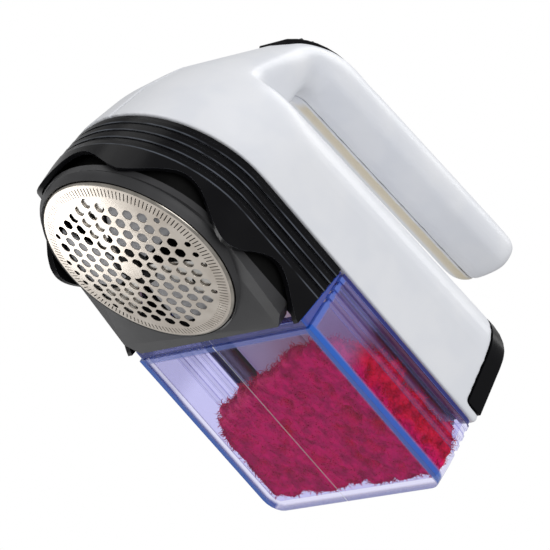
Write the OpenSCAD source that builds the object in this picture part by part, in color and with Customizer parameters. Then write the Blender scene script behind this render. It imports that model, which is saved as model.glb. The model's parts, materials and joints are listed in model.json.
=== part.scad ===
// Fabric shaver with an iron-style handle, a round shaving foil at the front of the
// underside and a clear lint box behind it. Sizes in millimetres, +Z up, nose at +X.
// Origin: centre of the footprint, at the height of the table the foil stands on.

/* [Body] */
// Width of the body and of the lint box
body_w = 68; // [66:1:74]
// Thickness of the white shell
wall = 2; // [1.6:0.1:2.2]
// Height of the white body above the lint box, at the front
body_h = 30; // [29:0.5:34]
// Radius of the long top edges of the body
shoulder_r = 16; // [12:1:18]

/* [Handle] */
// Width of the grip
handle_w = 24; // [22:1:28]
// Height of the grip, underside to top
handle_h = 15; // [14:0.2:17]
// Room for the fingers between body and grip
finger_gap = 20; // [19:0.5:26]
// Lean of the nose above the body, from upright
nose_lean = 33.5; // [30:0.5:36]

/* [Lint box] */
// Length of the lint box along its bottom
box_len = 60; // [58:1:66]
// Height of the lint box
box_h = 20.5; // [20:0.5:24]
// Wall of the clear box
box_wall = 1.8; // [1.4:0.1:2]
// Number of ribs on the box and on the black skirt
rib_count = 4; // [3:1:5]
// Depth of the grooves between the ribs
rib_depth = 0.6; // [0.3:0.1:0.8]

/* [Shaving head] */
// Black rim between the nose of the skirt and the edge of the foil
foil_inset = 3.5; // [3.5:0.1:4.5]
// Thickness of the foil sheet
foil_t = 0.3; // [0.2:0.05:0.4]
// Bulge of the foil below its rim
dome_h = 3.4; // [2.6:0.1:3.8]
// Width of a hexagonal lint hole across its flats
hole_w = 2.5; // [2.2:0.1:2.7]
// Distance between the middles of neighbouring lint holes in a row
hole_pitch = 3.7; // [3.5:0.1:4.4]
// Distance between the rows of lint holes
row_pitch = 3.8; // [3.4:0.1:4.4]
// Number of slots round the edge of the foil
slot_count = 72; // [36:12:72]
// Depth of the scallops in the lower edge of the skirt
wave_h = 8.4; // [5:0.2:9]

/* [Cutter] */
// Number of blades
blade_count = 3; // [2:1:4]
// Distance from the tips of the blades to the edge of the foil
blade_inset = 5; // [5:0.5:8]
// Gap between blades and foil
blade_gap = 0.3; // [0.2:0.05:0.4]
// Diameter of the drive shaft
shaft_d = 4; // [3:0.5:5]

/* [Motor and cells] */
// Diameter of the motor
motor_d = 24; // [20:1:25]
// Length of the motor can
motor_len = 17; // [14:1:18]
// Diameter of a cell
cell_d = 26.2; // [24:0.1:26.4]
// Length of a cell
cell_len = 50; // [48:0.5:50]

/* [Fits] */
// Gap between parts that sit side by side
fit = 0.3; // [0.2:0.05:0.35]
// Radial gap of the running fits
run_fit = 0.05; // [0.03:0.01:0.08]
// Travel of the switch slider
switch_travel = 4; // [3:0.5:4.5]

/* [Hidden] */
$fn = 64;
eps = 0.01;

// plan
half_w = body_w / 2;
nose_a = half_w - 2.5;
head_gap = half_w + 0.5;
head_x = (box_len + head_gap + nose_a) / 2 - nose_a;
box_front = head_x - head_gap;
box_rear = box_front - box_len;

// heights
// the foil bulges down to the table, and its rim lies this much higher
lift = dome_h - 0.2;
box_z = lift + 2.8;
box_top = box_z + box_h;
floor_z = box_top + fit;
floor_t = 1.6;
body_slope = 2.6;
body_top = floor_z + body_h;
cap_z = floor_z + 3;
under_z = body_top + finger_gap + 1.4;
grip_slope = 3.2;

// nose
nose_tilt = 14;
nose_inset = 2.2;
lean_x = 52.2 - 31.5 + head_x;
lean_z = body_top - 1.8;

// rear cap: the joint line and the outer face lean forward together
cap_lean = 8.5;
cap_t = 6;
cap_rear = box_rear + 1.5;

// ---------- outlines ----------
function unit(v) = v / norm(v);
function cross2(u, v) = u.x * v.y - u.y * v.x;
function turn(a, b, c) = cross2(b - a, c - b);

// arc of radius r that rounds the corner b between a and c
function corner(a, b, c, r, n) =
    let (
        u = unit(a - b),
        v = unit(c - b),
        h = acos(max(-1, min(1, u * v))) / 2,
        o = b + unit(u + v) * r / sin(h),
        s = b + u * r / tan(h) - o,
        e = b + v * r / tan(h) - o,
        a0 = atan2(s.y, s.x),
        w = atan2(cross2(s, e), s * e)
    )
    [for (i = [0 : n]) o + r * [cos(a0 + w * i / n), sin(a0 + w * i / n)]];

// outline p moved inwards by i
function inset(p, i) =
    let (k = len(p))
    [for (j = [0 : k - 1])
        let (
            u = unit(p[j] - p[(j + k - 1) % k]),
            v = unit(p[(j + 1) % k] - p[j]),
            m = [-u.y, u.x],
            n = [-v.y, v.x]
        )
        p[j] + (m + n) * i / (1 + m * n)];

// outline p (anticlockwise) moved inwards by i, with its corners rounded to radii r
function outline(p, r, i = 0, n = 6) =
    let (q = inset(p, i), k = len(q))
    [for (j = [0 : k - 1])
        let (
            a = q[(j + k - 1) % k],
            c = q[(j + 1) % k],
            rr = turn(a, q[j], c) > 0 ? r[j] - i : r[j] + i
        )
        each (r[j] <= 0 || rr < 0.2 ? [q[j]] : corner(a, q[j], c, rr, n))];

// U-shaped plan: round nose of half-length a and half-width b, straight back to xr
function u_plan(a, b, xr, n = 32) = concat(
    [[xr, -b]],
    [for (i = [0 : n]) let (t = -90 + 180 * i / n) [head_x + a * cos(t), b * sin(t)]],
    [[xr, b]]);

module u_plate(a, b, xr, z0, z1) {
    translate([0, 0, z0]) linear_extrude(z1 - z0) polygon(u_plan(a, b, xr));
}

// plate from a side outline given as [x, z] points, standing across y0 to y1
module side_plate(p, y0, y1) {
    translate([0, y1, 0]) rotate([90, 0, 0]) linear_extrude(y1 - y0) polygon(p);
}

// bar from a section given as [y, z] points, running from x0 to x1
module x_bar(p, x0, x1) {
    translate([x0, 0, 0]) rotate([90, 0, 90]) linear_extrude(x1 - x0) polygon(p);
}

module y_rod(r, x, z, y0, y1) {
    translate([x, y1, z]) rotate([90, 0, 0]) cylinder(r = r, h = y1 - y0);
}

module tube(ro, ri, z0, z1) {
    difference() {
        translate([0, 0, z0]) cylinder(r = ro, h = z1 - z0);
        translate([0, 0, z0 - 1]) cylinder(r = ri, h = z1 - z0 + 2);
    }
}

// ---------- white body, as a solid that can be built smaller by i ----------
// long rounded-top bar; its top rises a little towards the rear
module body_bar(i) {
    p = [[-half_w, 0], [half_w, 0], [half_w, body_top], [-half_w, body_top]];
    translate([head_x, 0, body_top]) rotate([0, body_slope, 0])
        translate([-head_x, 0, -body_top])
            x_bar(outline(p, [0, 0, shoulder_r, shoulder_r], i, 9), box_rear - 6, head_x + 60);
}

// nose wall that leans back a little, and the two steeper steps above it
module nose_wall(i) {
    translate([head_x, 0, floor_z]) rotate([0, -nose_tilt, 0])
        translate([-head_x, 0, 0])
            u_plate(nose_a - nose_inset - i, half_w - i, box_rear - 40, -30, 150);
}
module lean_wall(i) {
    translate([lean_x, 0, lean_z]) rotate([0, -nose_lean, 0])
        translate([-head_x - nose_a, 0, 0])
            u_plate(nose_a - i, half_w - i, box_rear - 90, -60, 150);
}
module mid_wall(i) {
    translate([lean_x + 1.5, 0, lean_z - 3.6]) rotate([0, -(nose_lean + nose_tilt) / 2, 0])
        translate([-head_x - nose_a, 0, 0])
            u_plate(nose_a - i, half_w - i, box_rear - 90, -60, 150);
}

// rear of the body, with the rounded upper corner shared by the cap
rear_r = 13;
module rear_wall(i) {
    t = tan(cap_lean);
    top = body_top + (head_x - cap_rear) * tan(body_slope) - 1;
    p = [[cap_rear - t * 20, floor_z - 20], [head_x + 60, floor_z - 20],
         [head_x + 60, body_top + 4], [cap_rear + t * (top - floor_z), top]];
    side_plate(outline(p, [0, 0, 0, rear_r], i, 8), -half_w - 1, half_w + 1);
}

module body_block(i) {
    intersection() {
        body_bar(i);
        nose_wall(i);
        mid_wall(i);
        lean_wall(i);
        rear_wall(i);
        translate([box_rear - 10, -half_w - 1, floor_z + (i > 0 ? floor_t : 0)])
            cube([box_len + head_gap + 80, body_w + 2, body_h + 20]);
    }
}

// side outline of nose and grip
bend_r = 30;
top_slope = tan(3.1);
grip_top = under_z + handle_h;
grip_x = lean_x - (grip_top - lean_z) * tan(nose_lean);
grip_rear = box_rear + 4;
gap_x = head_x - 7.5;
grip_p = [
    [grip_rear + 0.4, under_z + (gap_x - grip_rear) * tan(grip_slope)],
    [gap_x, under_z],
    [gap_x, floor_z + 12],
    [lean_x - (floor_z + 12 - lean_z) * tan(nose_lean), floor_z + 12],
    [grip_x, grip_top],
    [grip_rear, grip_top + (grip_x - grip_rear) * top_slope]
];
grip_r = [3.2, 9, 0, 0, bend_r, 6.5];
module grip_side(i) {
    side_plate(outline(grip_p, grip_r, i, 8), -half_w, half_w);
}

// section of the nose above the body: wide below, narrow at the top
grip_r_top = handle_h * 0.54;
bell_p = [[-21, floor_z + 10], [21, floor_z + 10], [20, body_top], [15, body_top + 17],
          [handle_w / 2 + 1, under_z + 1], [handle_w / 2 - 1, grip_top + 0.3],
          [-handle_w / 2 + 1, grip_top + 0.3], [-handle_w / 2 - 1, under_z + 1],
          [-15, body_top + 17], [-20, body_top]];
module bell(i) {
    p = [[gap_x - 9, -3], [gap_x + 4, -handle_w / 2 - 0.5], [gap_x + 18, -19], [head_x + 40, -half_w],
         [head_x + 40, half_w], [gap_x + 18, 19], [gap_x + 4, handle_w / 2 + 0.5], [gap_x - 9, 3]];
    intersection() {
        x_bar(outline(bell_p, [0, 0, 0, 0, 0, grip_r_top, grip_r_top, 0, 0, 0], i, 6),
              gap_x - 10, head_x + 40);
        translate([0, 0, floor_z]) linear_extrude(90)
            polygon(outline(p, [0, 14, 12, 0, 0, 12, 14, 0], i, 6));
    }
}

// section of the grip: narrow underside, sloping flanks, rounded top
module grip_bar(i) {
    w = handle_w / 2;
    h = handle_h + 0.2 + (gap_x - grip_rear) * (top_slope - tan(grip_slope)) / 2;
    k = handle_h * 0.3;
    p = [[-3, 0], [3, 0], [w, k], [w, h], [-w, h], [-w, k]];
    translate([gap_x, 0, under_z]) rotate([0, grip_slope, 0])
        x_bar(outline(p, [1, 1, 2, grip_r_top, grip_r_top, 2], i, 8),
              grip_rear - gap_x - 3, 3);
}

// plan of the rear end of the grip
module grip_plan(i) {
    w = handle_w / 2;
    p = [[grip_rear, -w - 1], [head_x + 40, -half_w], [head_x + 40, half_w], [grip_rear, w + 1]];
    translate([0, 0, floor_z]) linear_extrude(90)
        polygon(outline(p, [7, 0, 0, 7], i, 6));
}

module nose_and_grip(i) {
    intersection() {
        grip_side(i);
        mid_wall(i);
        lean_wall(i);
        nose_wall(i);
        grip_plan(i);
        union() {
            bell(i);
            grip_bar(i);
        }
    }
}

module white_solid(i) {
    body_block(i);
    nose_and_grip(i);
}

// leaning cut between white body and black cap; d moves it rearwards
module behind_joint(d) {
    translate([cap_rear + cap_t - d, 0, cap_z]) rotate([0, cap_lean, 0])
        translate([-40, -half_w - 2, -12]) cube([40, body_w + 4, 60]);
}

// lint box rails and their slots in the body floor
rail_y = half_w - 7;
rail_neck = 1.4;
rail_head = 3.4;
rail_h = 0.8;
module rails(g) {
    for (s = [-1, 1]) {
        translate([box_rear + 6 - (g > 0 ? 30 : 0), s * rail_y - rail_neck / 2 - g, box_top - eps])
            cube([box_len - 8 + (g > 0 ? 30 + g : 0), rail_neck + 2 * g, fit + floor_t + 1]);
        translate([box_rear + 6 - (g > 0 ? 30 : 0), s * rail_y - rail_head / 2 - g,
                   floor_z + floor_t + (g > 0 ? 0 : fit)])
            cube([box_len - 8 + (g > 0 ? 30 + g : 0), rail_head + 2 * g, rail_h + 2 * g]);
    }
}

// where the cells lie
cell_r = cell_d / 2;
cell_y = cell_r + 0.4;
tray_z = floor_z + floor_t + fit;
cell_z = tray_z + 0.7 + cell_r;
cell_rear = cap_rear + cap_t + 5.2;
cell_front = cell_rear + cell_len;

// clamshell screws: x, z
screw_at = [[grip_rear + 13, under_z + 11.3], [head_x + 16.5, floor_z + 20],
            [cell_front + 8.3, floor_z + 21.5], [box_front + 1.5, under_z + 8.9]];
screw_r = 1.4;
boss_r = 3.4;

// switch seat on the bend between nose and grip
switch_tilt = 27;
// angle along the bend that spans the length l
function bend_deg(l) = l / bend_r * 180 / PI;
slide_half = 7.2;
slide_w = 9;
slide_a = bend_deg(switch_travel);
ridge_count = 4;
ridge_pitch = 3.9;
bend_o = let (
        q = grip_p,
        u = unit(q[3] - q[4]),
        v = unit(q[5] - q[4]),
        h = acos(u * v) / 2
    ) q[4] + unit(u + v) * bend_r / sin(h);
module at_switch() {
    translate([bend_o.x, 0, bend_o.y]) rotate([0, switch_tilt, 0]) translate([0, 0, bend_r])
        children();
}

// motor axis is the head axis
motor_z = floor_z + 7.4;

module housing_shell() {
    difference() {
        union() {
            difference() {
                white_solid(0);
                white_solid(wall);
                // rear opening, closed by the cap
                intersection() {
                    behind_joint(0);
                    translate([box_rear - 10, -half_w - 2, cap_z - fit])
                        cube([60, body_w + 4, under_z - cap_z - 8]);
                }
            }
            // bosses for the clamshell screws
            for (s = screw_at) y_rod(boss_r, s.x, s.y, -5, 5);
            intersection() {
                white_solid(wall / 2);
                for (s = screw_at) y_rod(boss_r, s.x, s.y, -half_w, half_w);
            }
            // posts that carry the motor bracket
            for (t = [45, 135, 225, 315])
                translate([head_x + 17 * cos(t), 17 * sin(t), floor_z + 1]) difference() {
                    cylinder(r = 2.4, h = motor_z - floor_z - 1 - 2 - fit);
                    translate([0, 0, 1]) cylinder(r = 1.05, h = 9);
                }
            // ribs at both ends of the switch
            intersection() {
                white_solid(wall / 2);
                at_switch() for (x = [-7.4, 8.2]) translate([x, -half_w, -12])
                    cube([1.2, body_w, 11]);
            }
        }
        // well for the drive coupler
        translate([head_x, 0, floor_z - 1]) cylinder(r = 8, h = 5);
        rails(fit);
        // slot for the neck of the slider
        bend_band(bend_r - 8, bend_r + 4, -bend_deg(2.9), slide_a + bend_deg(2.9), -2.2, 2.2);
        // seat of the switch bezel
        bezel_solid(fit / 2);
    }
}

module bezel_solid(g) {
    x0 = -bend_r * sin(bend_deg(slide_half + 1.2));
    x1 = bend_r * sin(bend_deg(slide_half + switch_travel + 1.6));
    difference() {
        intersection() {
            side_plate(outline(grip_p, grip_r, -0.7, 8), -5.5 - g, 5.5 + g);
            at_switch() translate([x0 - g, -10, -12]) cube([x1 - x0 + 2 * g, 20, 16]);
        }
        side_plate(outline(grip_p, grip_r, 1 + g, 8), -7, 7);
    }
}

seam = 0.1;
tongue_h = 1;
module housing_left() {
    color("white") difference() {
        union() {
            intersection() {
                housing_shell();
                translate([-150, seam, 0]) cube([300, 60, 150]);
            }
            // tongue along the seam
            intersection() {
                difference() {
                    white_solid(wall / 2 + 0.1);
                    white_solid(wall);
                    behind_joint(-1);
                    translate([head_x, 0, floor_z - 1]) cylinder(r = 8, h = 5);
                    bezel_solid(1);
                    at_switch() translate([-10, -4, -8]) cube([24, 8, 16]);
                }
                translate([-150, -tongue_h, 0]) cube([300, tongue_h + seam + 0.2, 150]);
            }
        }
        for (s = screw_at) y_rod(screw_r + 0.03, s.x, s.y, -8, 3.8);
    }
}

module housing_right() {
    color("white") difference() {
        intersection() {
            housing_shell();
            translate([-150, -60 - seam, 0]) cube([300, 60, 150]);
        }
        // groove for the tongue
        intersection() {
            white_solid(wall / 2 - 0.1);
            translate([-150, -tongue_h - fit, 0]) cube([300, 10, 150]);
        }
        for (s = screw_at) {
            y_rod(screw_r + 0.2, s.x, s.y, -half_w - 1, 1);
            y_rod(2.9, s.x, s.y, -half_w - 1, -6);
        }
    }
}

module housing_screws() {
    color("silver") for (s = screw_at) {
        difference() {
            union() {
                y_rod(screw_r, s.x, s.y, -7, 3.5);
                y_rod(2.6, s.x, s.y, -8, -6.05);
            }
            translate([s.x - 1.8, -8.5, s.y - 0.3]) cube([3.6, 1.3, 0.6]);
            translate([s.x - 0.3, -8.5, s.y - 1.8]) cube([0.6, 1.3, 3.6]);
        }
    }
}

module battery_cap() {
    color("black") {
        difference() {
            intersection() {
                body_block(0);
                behind_joint(fit);
                translate([box_rear - 10, -half_w - 2, cap_z]) cube([60, body_w + 4, 60]);
            }
            intersection() {
                body_block(wall);
                translate([box_rear - 10, -half_w, cap_z + wall]) cube([60, body_w, 60]);
            }
        }
        // rim that plugs into the body, on a root ring inside the cap
        difference() {
            intersection() {
                union() {
                    intersection() {
                        body_block(wall + fit);
                        behind_joint(-2.5);
                    }
                    intersection() {
                        body_block(wall / 2);
                        behind_joint(fit);
                    }
                }
                translate([box_rear - 10, -half_w, cap_z + wall / 2]) cube([60, body_w, 60]);
            }
            body_block(2 * wall + fit);
            translate([-20, 0, 0]) body_block(2 * wall + fit);
            behind_joint(fit + 1.6);
            // clear of the cells
            for (s = [-1, 1]) translate([cell_rear - 1, s * cell_y, cell_z]) rotate([0, 90, 0])
                cylinder(r = cell_r + fit, h = 20);
        }
    }
}

// ---------- black ribbed skirt ----------
skirt_top = floor_z - fit;
petal_z = lift + 0.7;
nose_petal = 2.6;
rib_z = box_z + 8.2;
rib_pitch = (skirt_top - rib_z) / rib_count;
wave_l = half_w;
quarter = (PI / 4) * (nose_a + half_w);

// height of the scalloped edge at distance s from the middle of the nose
function ease(t) = let (c = max(0, min(1, t))) c * c * (3 - 2 * c);
function wave_z(s) =
    let (low = petal_z + nose_petal * ease((quarter - s) / (quarter * 0.62)))
    low + (petal_z + wave_h - low) * (1 + cos(360 * s / wave_l)) / 2;

// cutter for one scallop on the nose, pointing along angle t
module nose_scallop(t, n = 14) {
    m = t * quarter / 90;
    p = [for (i = [-n : n]) let (s = wave_l / 2 * i / n)
        [half_w * sin(s / quarter * 90), wave_z(abs(m + s))]];
    translate([head_x, 0, 0]) rotate([90, 0, t + 90]) translate([0, 0, 20])
        linear_extrude(20) polygon(concat(p, [[p[2 * n].x + 0.3, -1], [p[0].x - 0.3, -1]]));
}
module side_scallop(n = 14) {
    m = 2 * wave_l;
    p = [for (i = [-n : n]) let (s = wave_l / 2 * i / n) [head_x + quarter - m - s, wave_z(m + s)]];
    for (y = [-half_w - 2, 24])
        side_plate(concat(p, [[p[2 * n].x - 0.3, -1], [p[0].x + 0.3, -1]]), y, y + half_w - 22);
}

skirt_wall = 1.6;
module skirt_shell() {
    color("black") difference() {
        union() {
            difference() {
                union() {
                    u_plate(nose_a, half_w, box_front - 3, petal_z, rib_z);
                    for (i = [0 : rib_count - 1]) {
                        z = rib_z + i * rib_pitch;
                        a = nose_a - 1.5 * (i + 0.3) / rib_count;
                        u_plate(a, half_w, box_front - 3, z - eps, z + rib_pitch * 0.5);
                        u_plate(a - rib_depth, half_w - rib_depth, box_front - 3,
                                z + rib_pitch * 0.5 - eps, z + rib_pitch);
                    }
                }
                u_plate(nose_a - skirt_wall + 0.3, half_w - skirt_wall, box_front - 4, -1, rib_z);
                u_plate(nose_a - 1.5 - skirt_wall - rib_depth + 0.3, half_w - skirt_wall - rib_depth,
                        box_front - 4, rib_z - eps, skirt_top - 2);
            }
            // screw posts down to the chamber
            for (t = [60, -60, 130, -130])
                translate([head_x + 22 * cos(t), 22 * sin(t), skirt_top - 2.6])
                    cylinder(r = 3, h = 2);
        }
        // rear edge leans forward towards the bottom
        translate([box_front + 3.7, -50, petal_z]) rotate([0, -6.8, 0])
            translate([-20, 0, -10]) cube([20, 100, 50]);
        // scallops
        for (t = [0, wave_l / quarter * 90, -wave_l / quarter * 90]) nose_scallop(t);
        side_scallop();
        // opening for the bearing and coupler
        translate([head_x, 0, skirt_top - 5]) cylinder(r = 9, h = 10);
    }
}

// ---------- cutting chamber ----------
chamber_a = nose_a - skirt_wall - 2.2;
chamber_b = half_w - skirt_wall - 1.8;
chamber_wall = 1.4;
chamber_z = lift + 5.4;
roof_z = lift + 16.4;
chamber_rear = box_front + 3.6;
module chamber() {
    color("dimgray") difference() {
        union() {
            difference() {
                u_plate(chamber_a, chamber_b, chamber_rear, chamber_z, roof_z + chamber_wall);
                u_plate(chamber_a - chamber_wall, chamber_b - chamber_wall, chamber_rear - 2,
                        chamber_z - 1, roof_z);
            }
            translate([head_x, 0, 0]) tube(6.2, shaft_d / 2 + 1, roof_z - 3.2, roof_z + 3);
            // posts up to the deck of the skirt
            for (t = [60, -60, 130, -130])
                translate([head_x + 22 * cos(t), 22 * sin(t), roof_z])
                    cylinder(r = 2.6, h = skirt_top - 2.6 - roof_z - fit);
            // rails that hold the head plate
            for (s = [-1, 1])
                translate([chamber_rear, s * (chamber_b - 1.2) - 1.2, chamber_z])
                    cube([22, 2.4, 2.2]);
        }
        // seat of the bearing
        translate([head_x, 0, roof_z - 3.4]) cylinder(r = 4.2, h = 9);
        // hooks pass here
        for (s = [-1, 1])
            translate([head_x - 14, s * (chamber_b - 3.4) - 2, chamber_z - 1]) cube([4, 4, 4]);
    }
}

// ---------- head plate, foil ----------
foil_r = nose_a - foil_inset;
blade_r = foil_r - blade_inset;
foil_flat = foil_r - 4.5;
plate_a = foil_r + 1.8;
plate_b = half_w - skirt_wall - 1.2;
plate_top = lift + 5.1;
plate_rear = box_front + 4.3;
plate_low = lift + 0.4;
ring_z = lift + 3.2;
module head_plate() {
    slope = atan2(ring_z - plate_low, head_x - plate_rear);
    color("gray") difference() {
        union() {
            difference() {
                u_plate(plate_a, plate_b, plate_rear, plate_low, plate_top);
                // underside slopes up from the rear edge to the middle, then runs level
                translate([plate_rear, -50, plate_low]) rotate([0, -slope, 0])
                    translate([-20, 0, -20]) cube([20 + norm([head_x - plate_rear,
                        ring_z - plate_low]), 100, 20]);
                translate([head_x - eps, -50, -5]) cube([50, 100, ring_z + 5]);
            }
            // collar round the foil, tall at the front
            translate([head_x, 0, 0]) rotate_extrude() polygon([
                [foil_r + 0.2, lift + 0.9], [foil_r + 0.6, lift + 0.6], [plate_a, ring_z - 0.4],
                [plate_a, plate_top], [foil_r + 0.2, plate_top]]);
        }
        translate([head_x, 0, -1]) cylinder(r = foil_r + 0.2, h = lift + 12);
        // rear corners cut off
        for (s = [-1, 1])
            translate([plate_rear, s * plate_b, -1]) rotate([0, 0, 45])
                translate([-2.6, -2.6, 0]) cube([5.2, 5.2, lift + 10]);
    }
    // spring hooks that hold the plate to the chamber
    color("gray") for (s = [-1, 1])
        translate([head_x - 13.4, s * (chamber_b - 3.4) - 1.3, plate_top - 0.2])
            cube([2.8, 2.6, 2.6]);
}

// the foil is part of a sphere, with a small flat in the middle
spot_h = 0.04;
dome_a = foil_r - 0.5;
dome_r = (dome_a * dome_a + dome_h * dome_h) / (2 * dome_h);
function dome_z(r) = dome_r - spot_h - sqrt(dome_r * dome_r - r * r);
module dome(i) {
    translate([0, 0, dome_r - spot_h]) sphere(r = dome_r - i);
}
// sheet of thickness t that lies i above the outside of the foil
module dome_sheet(i, t) {
    intersection() {
        difference() {
            dome(i);
            dome(i + t);
        }
        cylinder(r = dome_a, h = dome_h + t + i + 2);
    }
}

function hole_on(i, j) = [hole_pitch * (i + j / 2), row_pitch * j];
module foil() {
    n = ceil(foil_r / hole_pitch) + 3;
    full = foil_flat - 1.1;
    z = dome_z(dome_a);
    color("silver") translate([head_x, 0, 0]) difference() {
        union() {
            dome_sheet(0, foil_t);
            rotate_extrude() polygon([
                [dome_a - 0.3, z + 0.1], [dome_a, z + 0.08], [foil_r, z + 0.6], [foil_r, lift + 3.4],
                [foil_r - foil_t, lift + 3.4], [foil_r - foil_t, z + 0.75], [dome_a - 0.3, z + 0.2]]);
        }
        rotate([0, 0, 3]) for (i = [-n : n], j = [-n : n])
            if (norm(hole_on(i, j)) > hole_pitch * 0.6 && norm(hole_on(i, j)) < full + 0.9)
                translate([hole_on(i, j).x, hole_on(i, j).y, -1])
                    cylinder(r = (norm(hole_on(i, j)) < full ? hole_w : 0.55 * hole_w) / sqrt(3),
                             h = dome_h + 3, $fn = 6);
        for (k = [0 : slot_count - 1]) rotate([0, 0, 360 * k / slot_count])
            translate([foil_flat + 0.8, -0.25, -1]) cube([2.2, 0.5, dome_h + 3]);
    }
}

module foil_ring() {
    r = foil_r - foil_t - fit / 2;
    color("dimgray") translate([head_x, 0, 0]) {
        difference() {
            tube(r, r - 1.6, lift + 1.9, lift + 4.9);
            for (k = [0 : 5]) rotate([0, 0, 60 * k]) translate([r - 2, -1.5, lift + 3.9])
                cube([4, 3, 2]);
        }
    }
}

// ---------- cutter ----------
blade_i = foil_t + blade_gap;
blade_z = blade_i - spot_h;
blade_t = 0.8;
hub_z = blade_z + blade_t;
shaft_r = shaft_d / 2;
pin_r = 10;
module blade_plan(g) {
    a = 78 / blade_count * 1.5;
    polygon(concat(
        [for (i = [0 : 10]) let (t = -a / 2 + a * i / 10) (blade_r - g) * [cos(t), sin(t)]],
        [for (i = [0 : 10]) let (r = (blade_r - g) + (6 - blade_r) * i / 10, t = a / 2 - 26 * i / 10)
            r * [cos(t), sin(t)]],
        [for (i = [0 : 10]) let (r = 6 + (blade_r - g - 6) * i / 10, t = -a / 2 - 26 * (1 - i / 10) * 0.4)
            r * [cos(t), sin(t)]]));
}
// the blades follow the inside of the foil
module cutter_blades() {
    color("silver") translate([head_x, 0, 0]) for (k = [0 : blade_count - 1])
        rotate([0, 0, 360 / blade_count * k]) difference() {
            intersection() {
                linear_extrude(dome_h + 4) blade_plan(0);
                dome_sheet(blade_i, blade_t);
            }
            for (r = [pin_r, pin_r + 8]) translate([r, 0, -1]) cylinder(r = 0.9, h = dome_h + 6, $fn = 24);
        }
}
module cutter_hub() {
    i = blade_i + blade_t;
    color("dimgray") translate([head_x, 0, 0]) {
        difference() {
            union() {
                intersection() {
                    union() {
                        cylinder(r = 6.5, h = hub_z + 8);
                        // vanes that blow the lint into the box
                        for (k = [0 : blade_count - 1]) rotate([0, 0, 360 / blade_count * k])
                            translate([5, -0.6, 0]) cube([blade_r - 8, 1.2, hub_z + 8.5]);
                    }
                    dome(i);
                }
                for (k = [0 : blade_count - 1]) rotate([0, 0, 360 / blade_count * k]) {
                    intersection() {
                        linear_extrude(dome_h + 6) blade_plan(1.6);
                        dome_sheet(i, 2);
                    }
                    // rivets formed from the hub
                    for (r = [pin_r, pin_r + 8])
                        translate([r, 0, dome_z(r) + blade_i + 0.1]) cylinder(r = 0.85, h = 1.4, $fn = 24);
                }
            }
            translate([0, 0, hub_z + 1.6]) cylinder(r = shaft_r + run_fit, h = 12);
            translate([0, 0, hub_z - 1]) cylinder(r = 1.15, h = 6);
            translate([0, 0, hub_z + 5.6]) cylinder(r = 4.3, h = 6);
        }
    }
}
module cutter_screw() {
    color("silver") translate([head_x, 0, 0]) difference() {
        union() {
            translate([0, 0, blade_z + 0.1]) cylinder(r = 2.4, h = blade_t - 0.2);
            translate([0, 0, blade_z + blade_t - 0.2]) cylinder(r = 1, h = 5);
        }
        translate([-2.6, -0.3, blade_z - 0.5]) cube([5.2, 0.6, 0.9]);
    }
}
module cutter_shaft() {
    color("silver") translate([head_x, 0, 0]) difference() {
        translate([0, 0, hub_z + 1.8]) cylinder(r = shaft_r, h = floor_z - hub_z - 1.8);
        translate([0, 0, hub_z]) cylinder(r = 1.1, h = 6.5);
        // flat for the coupler
        translate([shaft_r - 0.5, -3, floor_z - 5]) cube([3, 6, 8]);
    }
}
module cutter_spring() {
    coils = 4;
    wire = 0.35;
    z0 = hub_z + 5.6 + wire;
    z1 = roof_z - 3.2 - wire - fit;
    color("silver") translate([head_x, 0, 0]) for (k = [0 : coils])
        translate([0, 0, z0 + (z1 - z0) * k / coils]) rotate_extrude($fn = 48)
            translate([3.2, 0]) circle(r = wire, $fn = 16);
    color("silver") translate([head_x + 3.2, 0, z0]) cylinder(r = 0.2, h = z1 - z0, $fn = 16);
}
module bearing_bush() {
    color("goldenrod") translate([head_x, 0, 0]) {
        tube(4.15, shaft_r + run_fit, roof_z - 3.1, roof_z + 2.6);
        tube(5.2, shaft_r + run_fit, roof_z + 3.05, roof_z + 3.85);
        tube(4.15, shaft_r + run_fit, roof_z + 2.5, roof_z + 3.2);
    }
}
module drive_coupler() {
    z0 = floor_z - 3;
    color("dimgray") translate([head_x, 0, 0]) difference() {
        translate([0, 0, z0]) cylinder(r = 4.6, h = motor_z - 1.9 - fit - z0);
        translate([0, 0, z0 - 1]) cylinder(r = shaft_r + run_fit, h = 4.3);
        translate([0, 0, floor_z + 1]) cylinder(r = 1.05, h = 12);
        for (t = [0, 60, 120]) rotate([0, 0, t]) translate([-6, -0.5, floor_z + 2])
            cube([12, 1, 1.6]);
    }
}

// ---------- motor ----------
motor_r = motor_d / 2;
motor_flat = motor_r * 0.8;
module motor_shaft() {
    color("silver") translate([head_x, 0, floor_z + 1.2])
        cylinder(r = 1, h = motor_z + motor_len - floor_z + 1);
}
module motor_can() {
    color("silver") translate([head_x, 0, 0]) difference() {
        union() {
            intersection() {
                translate([0, 0, motor_z]) cylinder(r = motor_r, h = motor_len);
                translate([-motor_flat, -20, motor_z - 1]) cube([2 * motor_flat, 40, motor_len + 2]);
            }
            translate([0, 0, motor_z - 1]) cylinder(r = 3, h = 1.5);
        }
        translate([0, 0, motor_z - 2]) cylinder(r = 1 + run_fit, h = motor_len + 4);
        // hollow for the windings, and two windows
        intersection() {
            translate([0, 0, motor_z + 1]) cylinder(r = motor_r - 1, h = motor_len);
            translate([-motor_flat + 1, -20, motor_z]) cube([2 * motor_flat - 2, 40, motor_len + 2]);
        }
        for (t = [-1, 1]) translate([-3, t * motor_r - 3, motor_z + 3]) cube([6, 6, 4]);
    }
}
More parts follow.
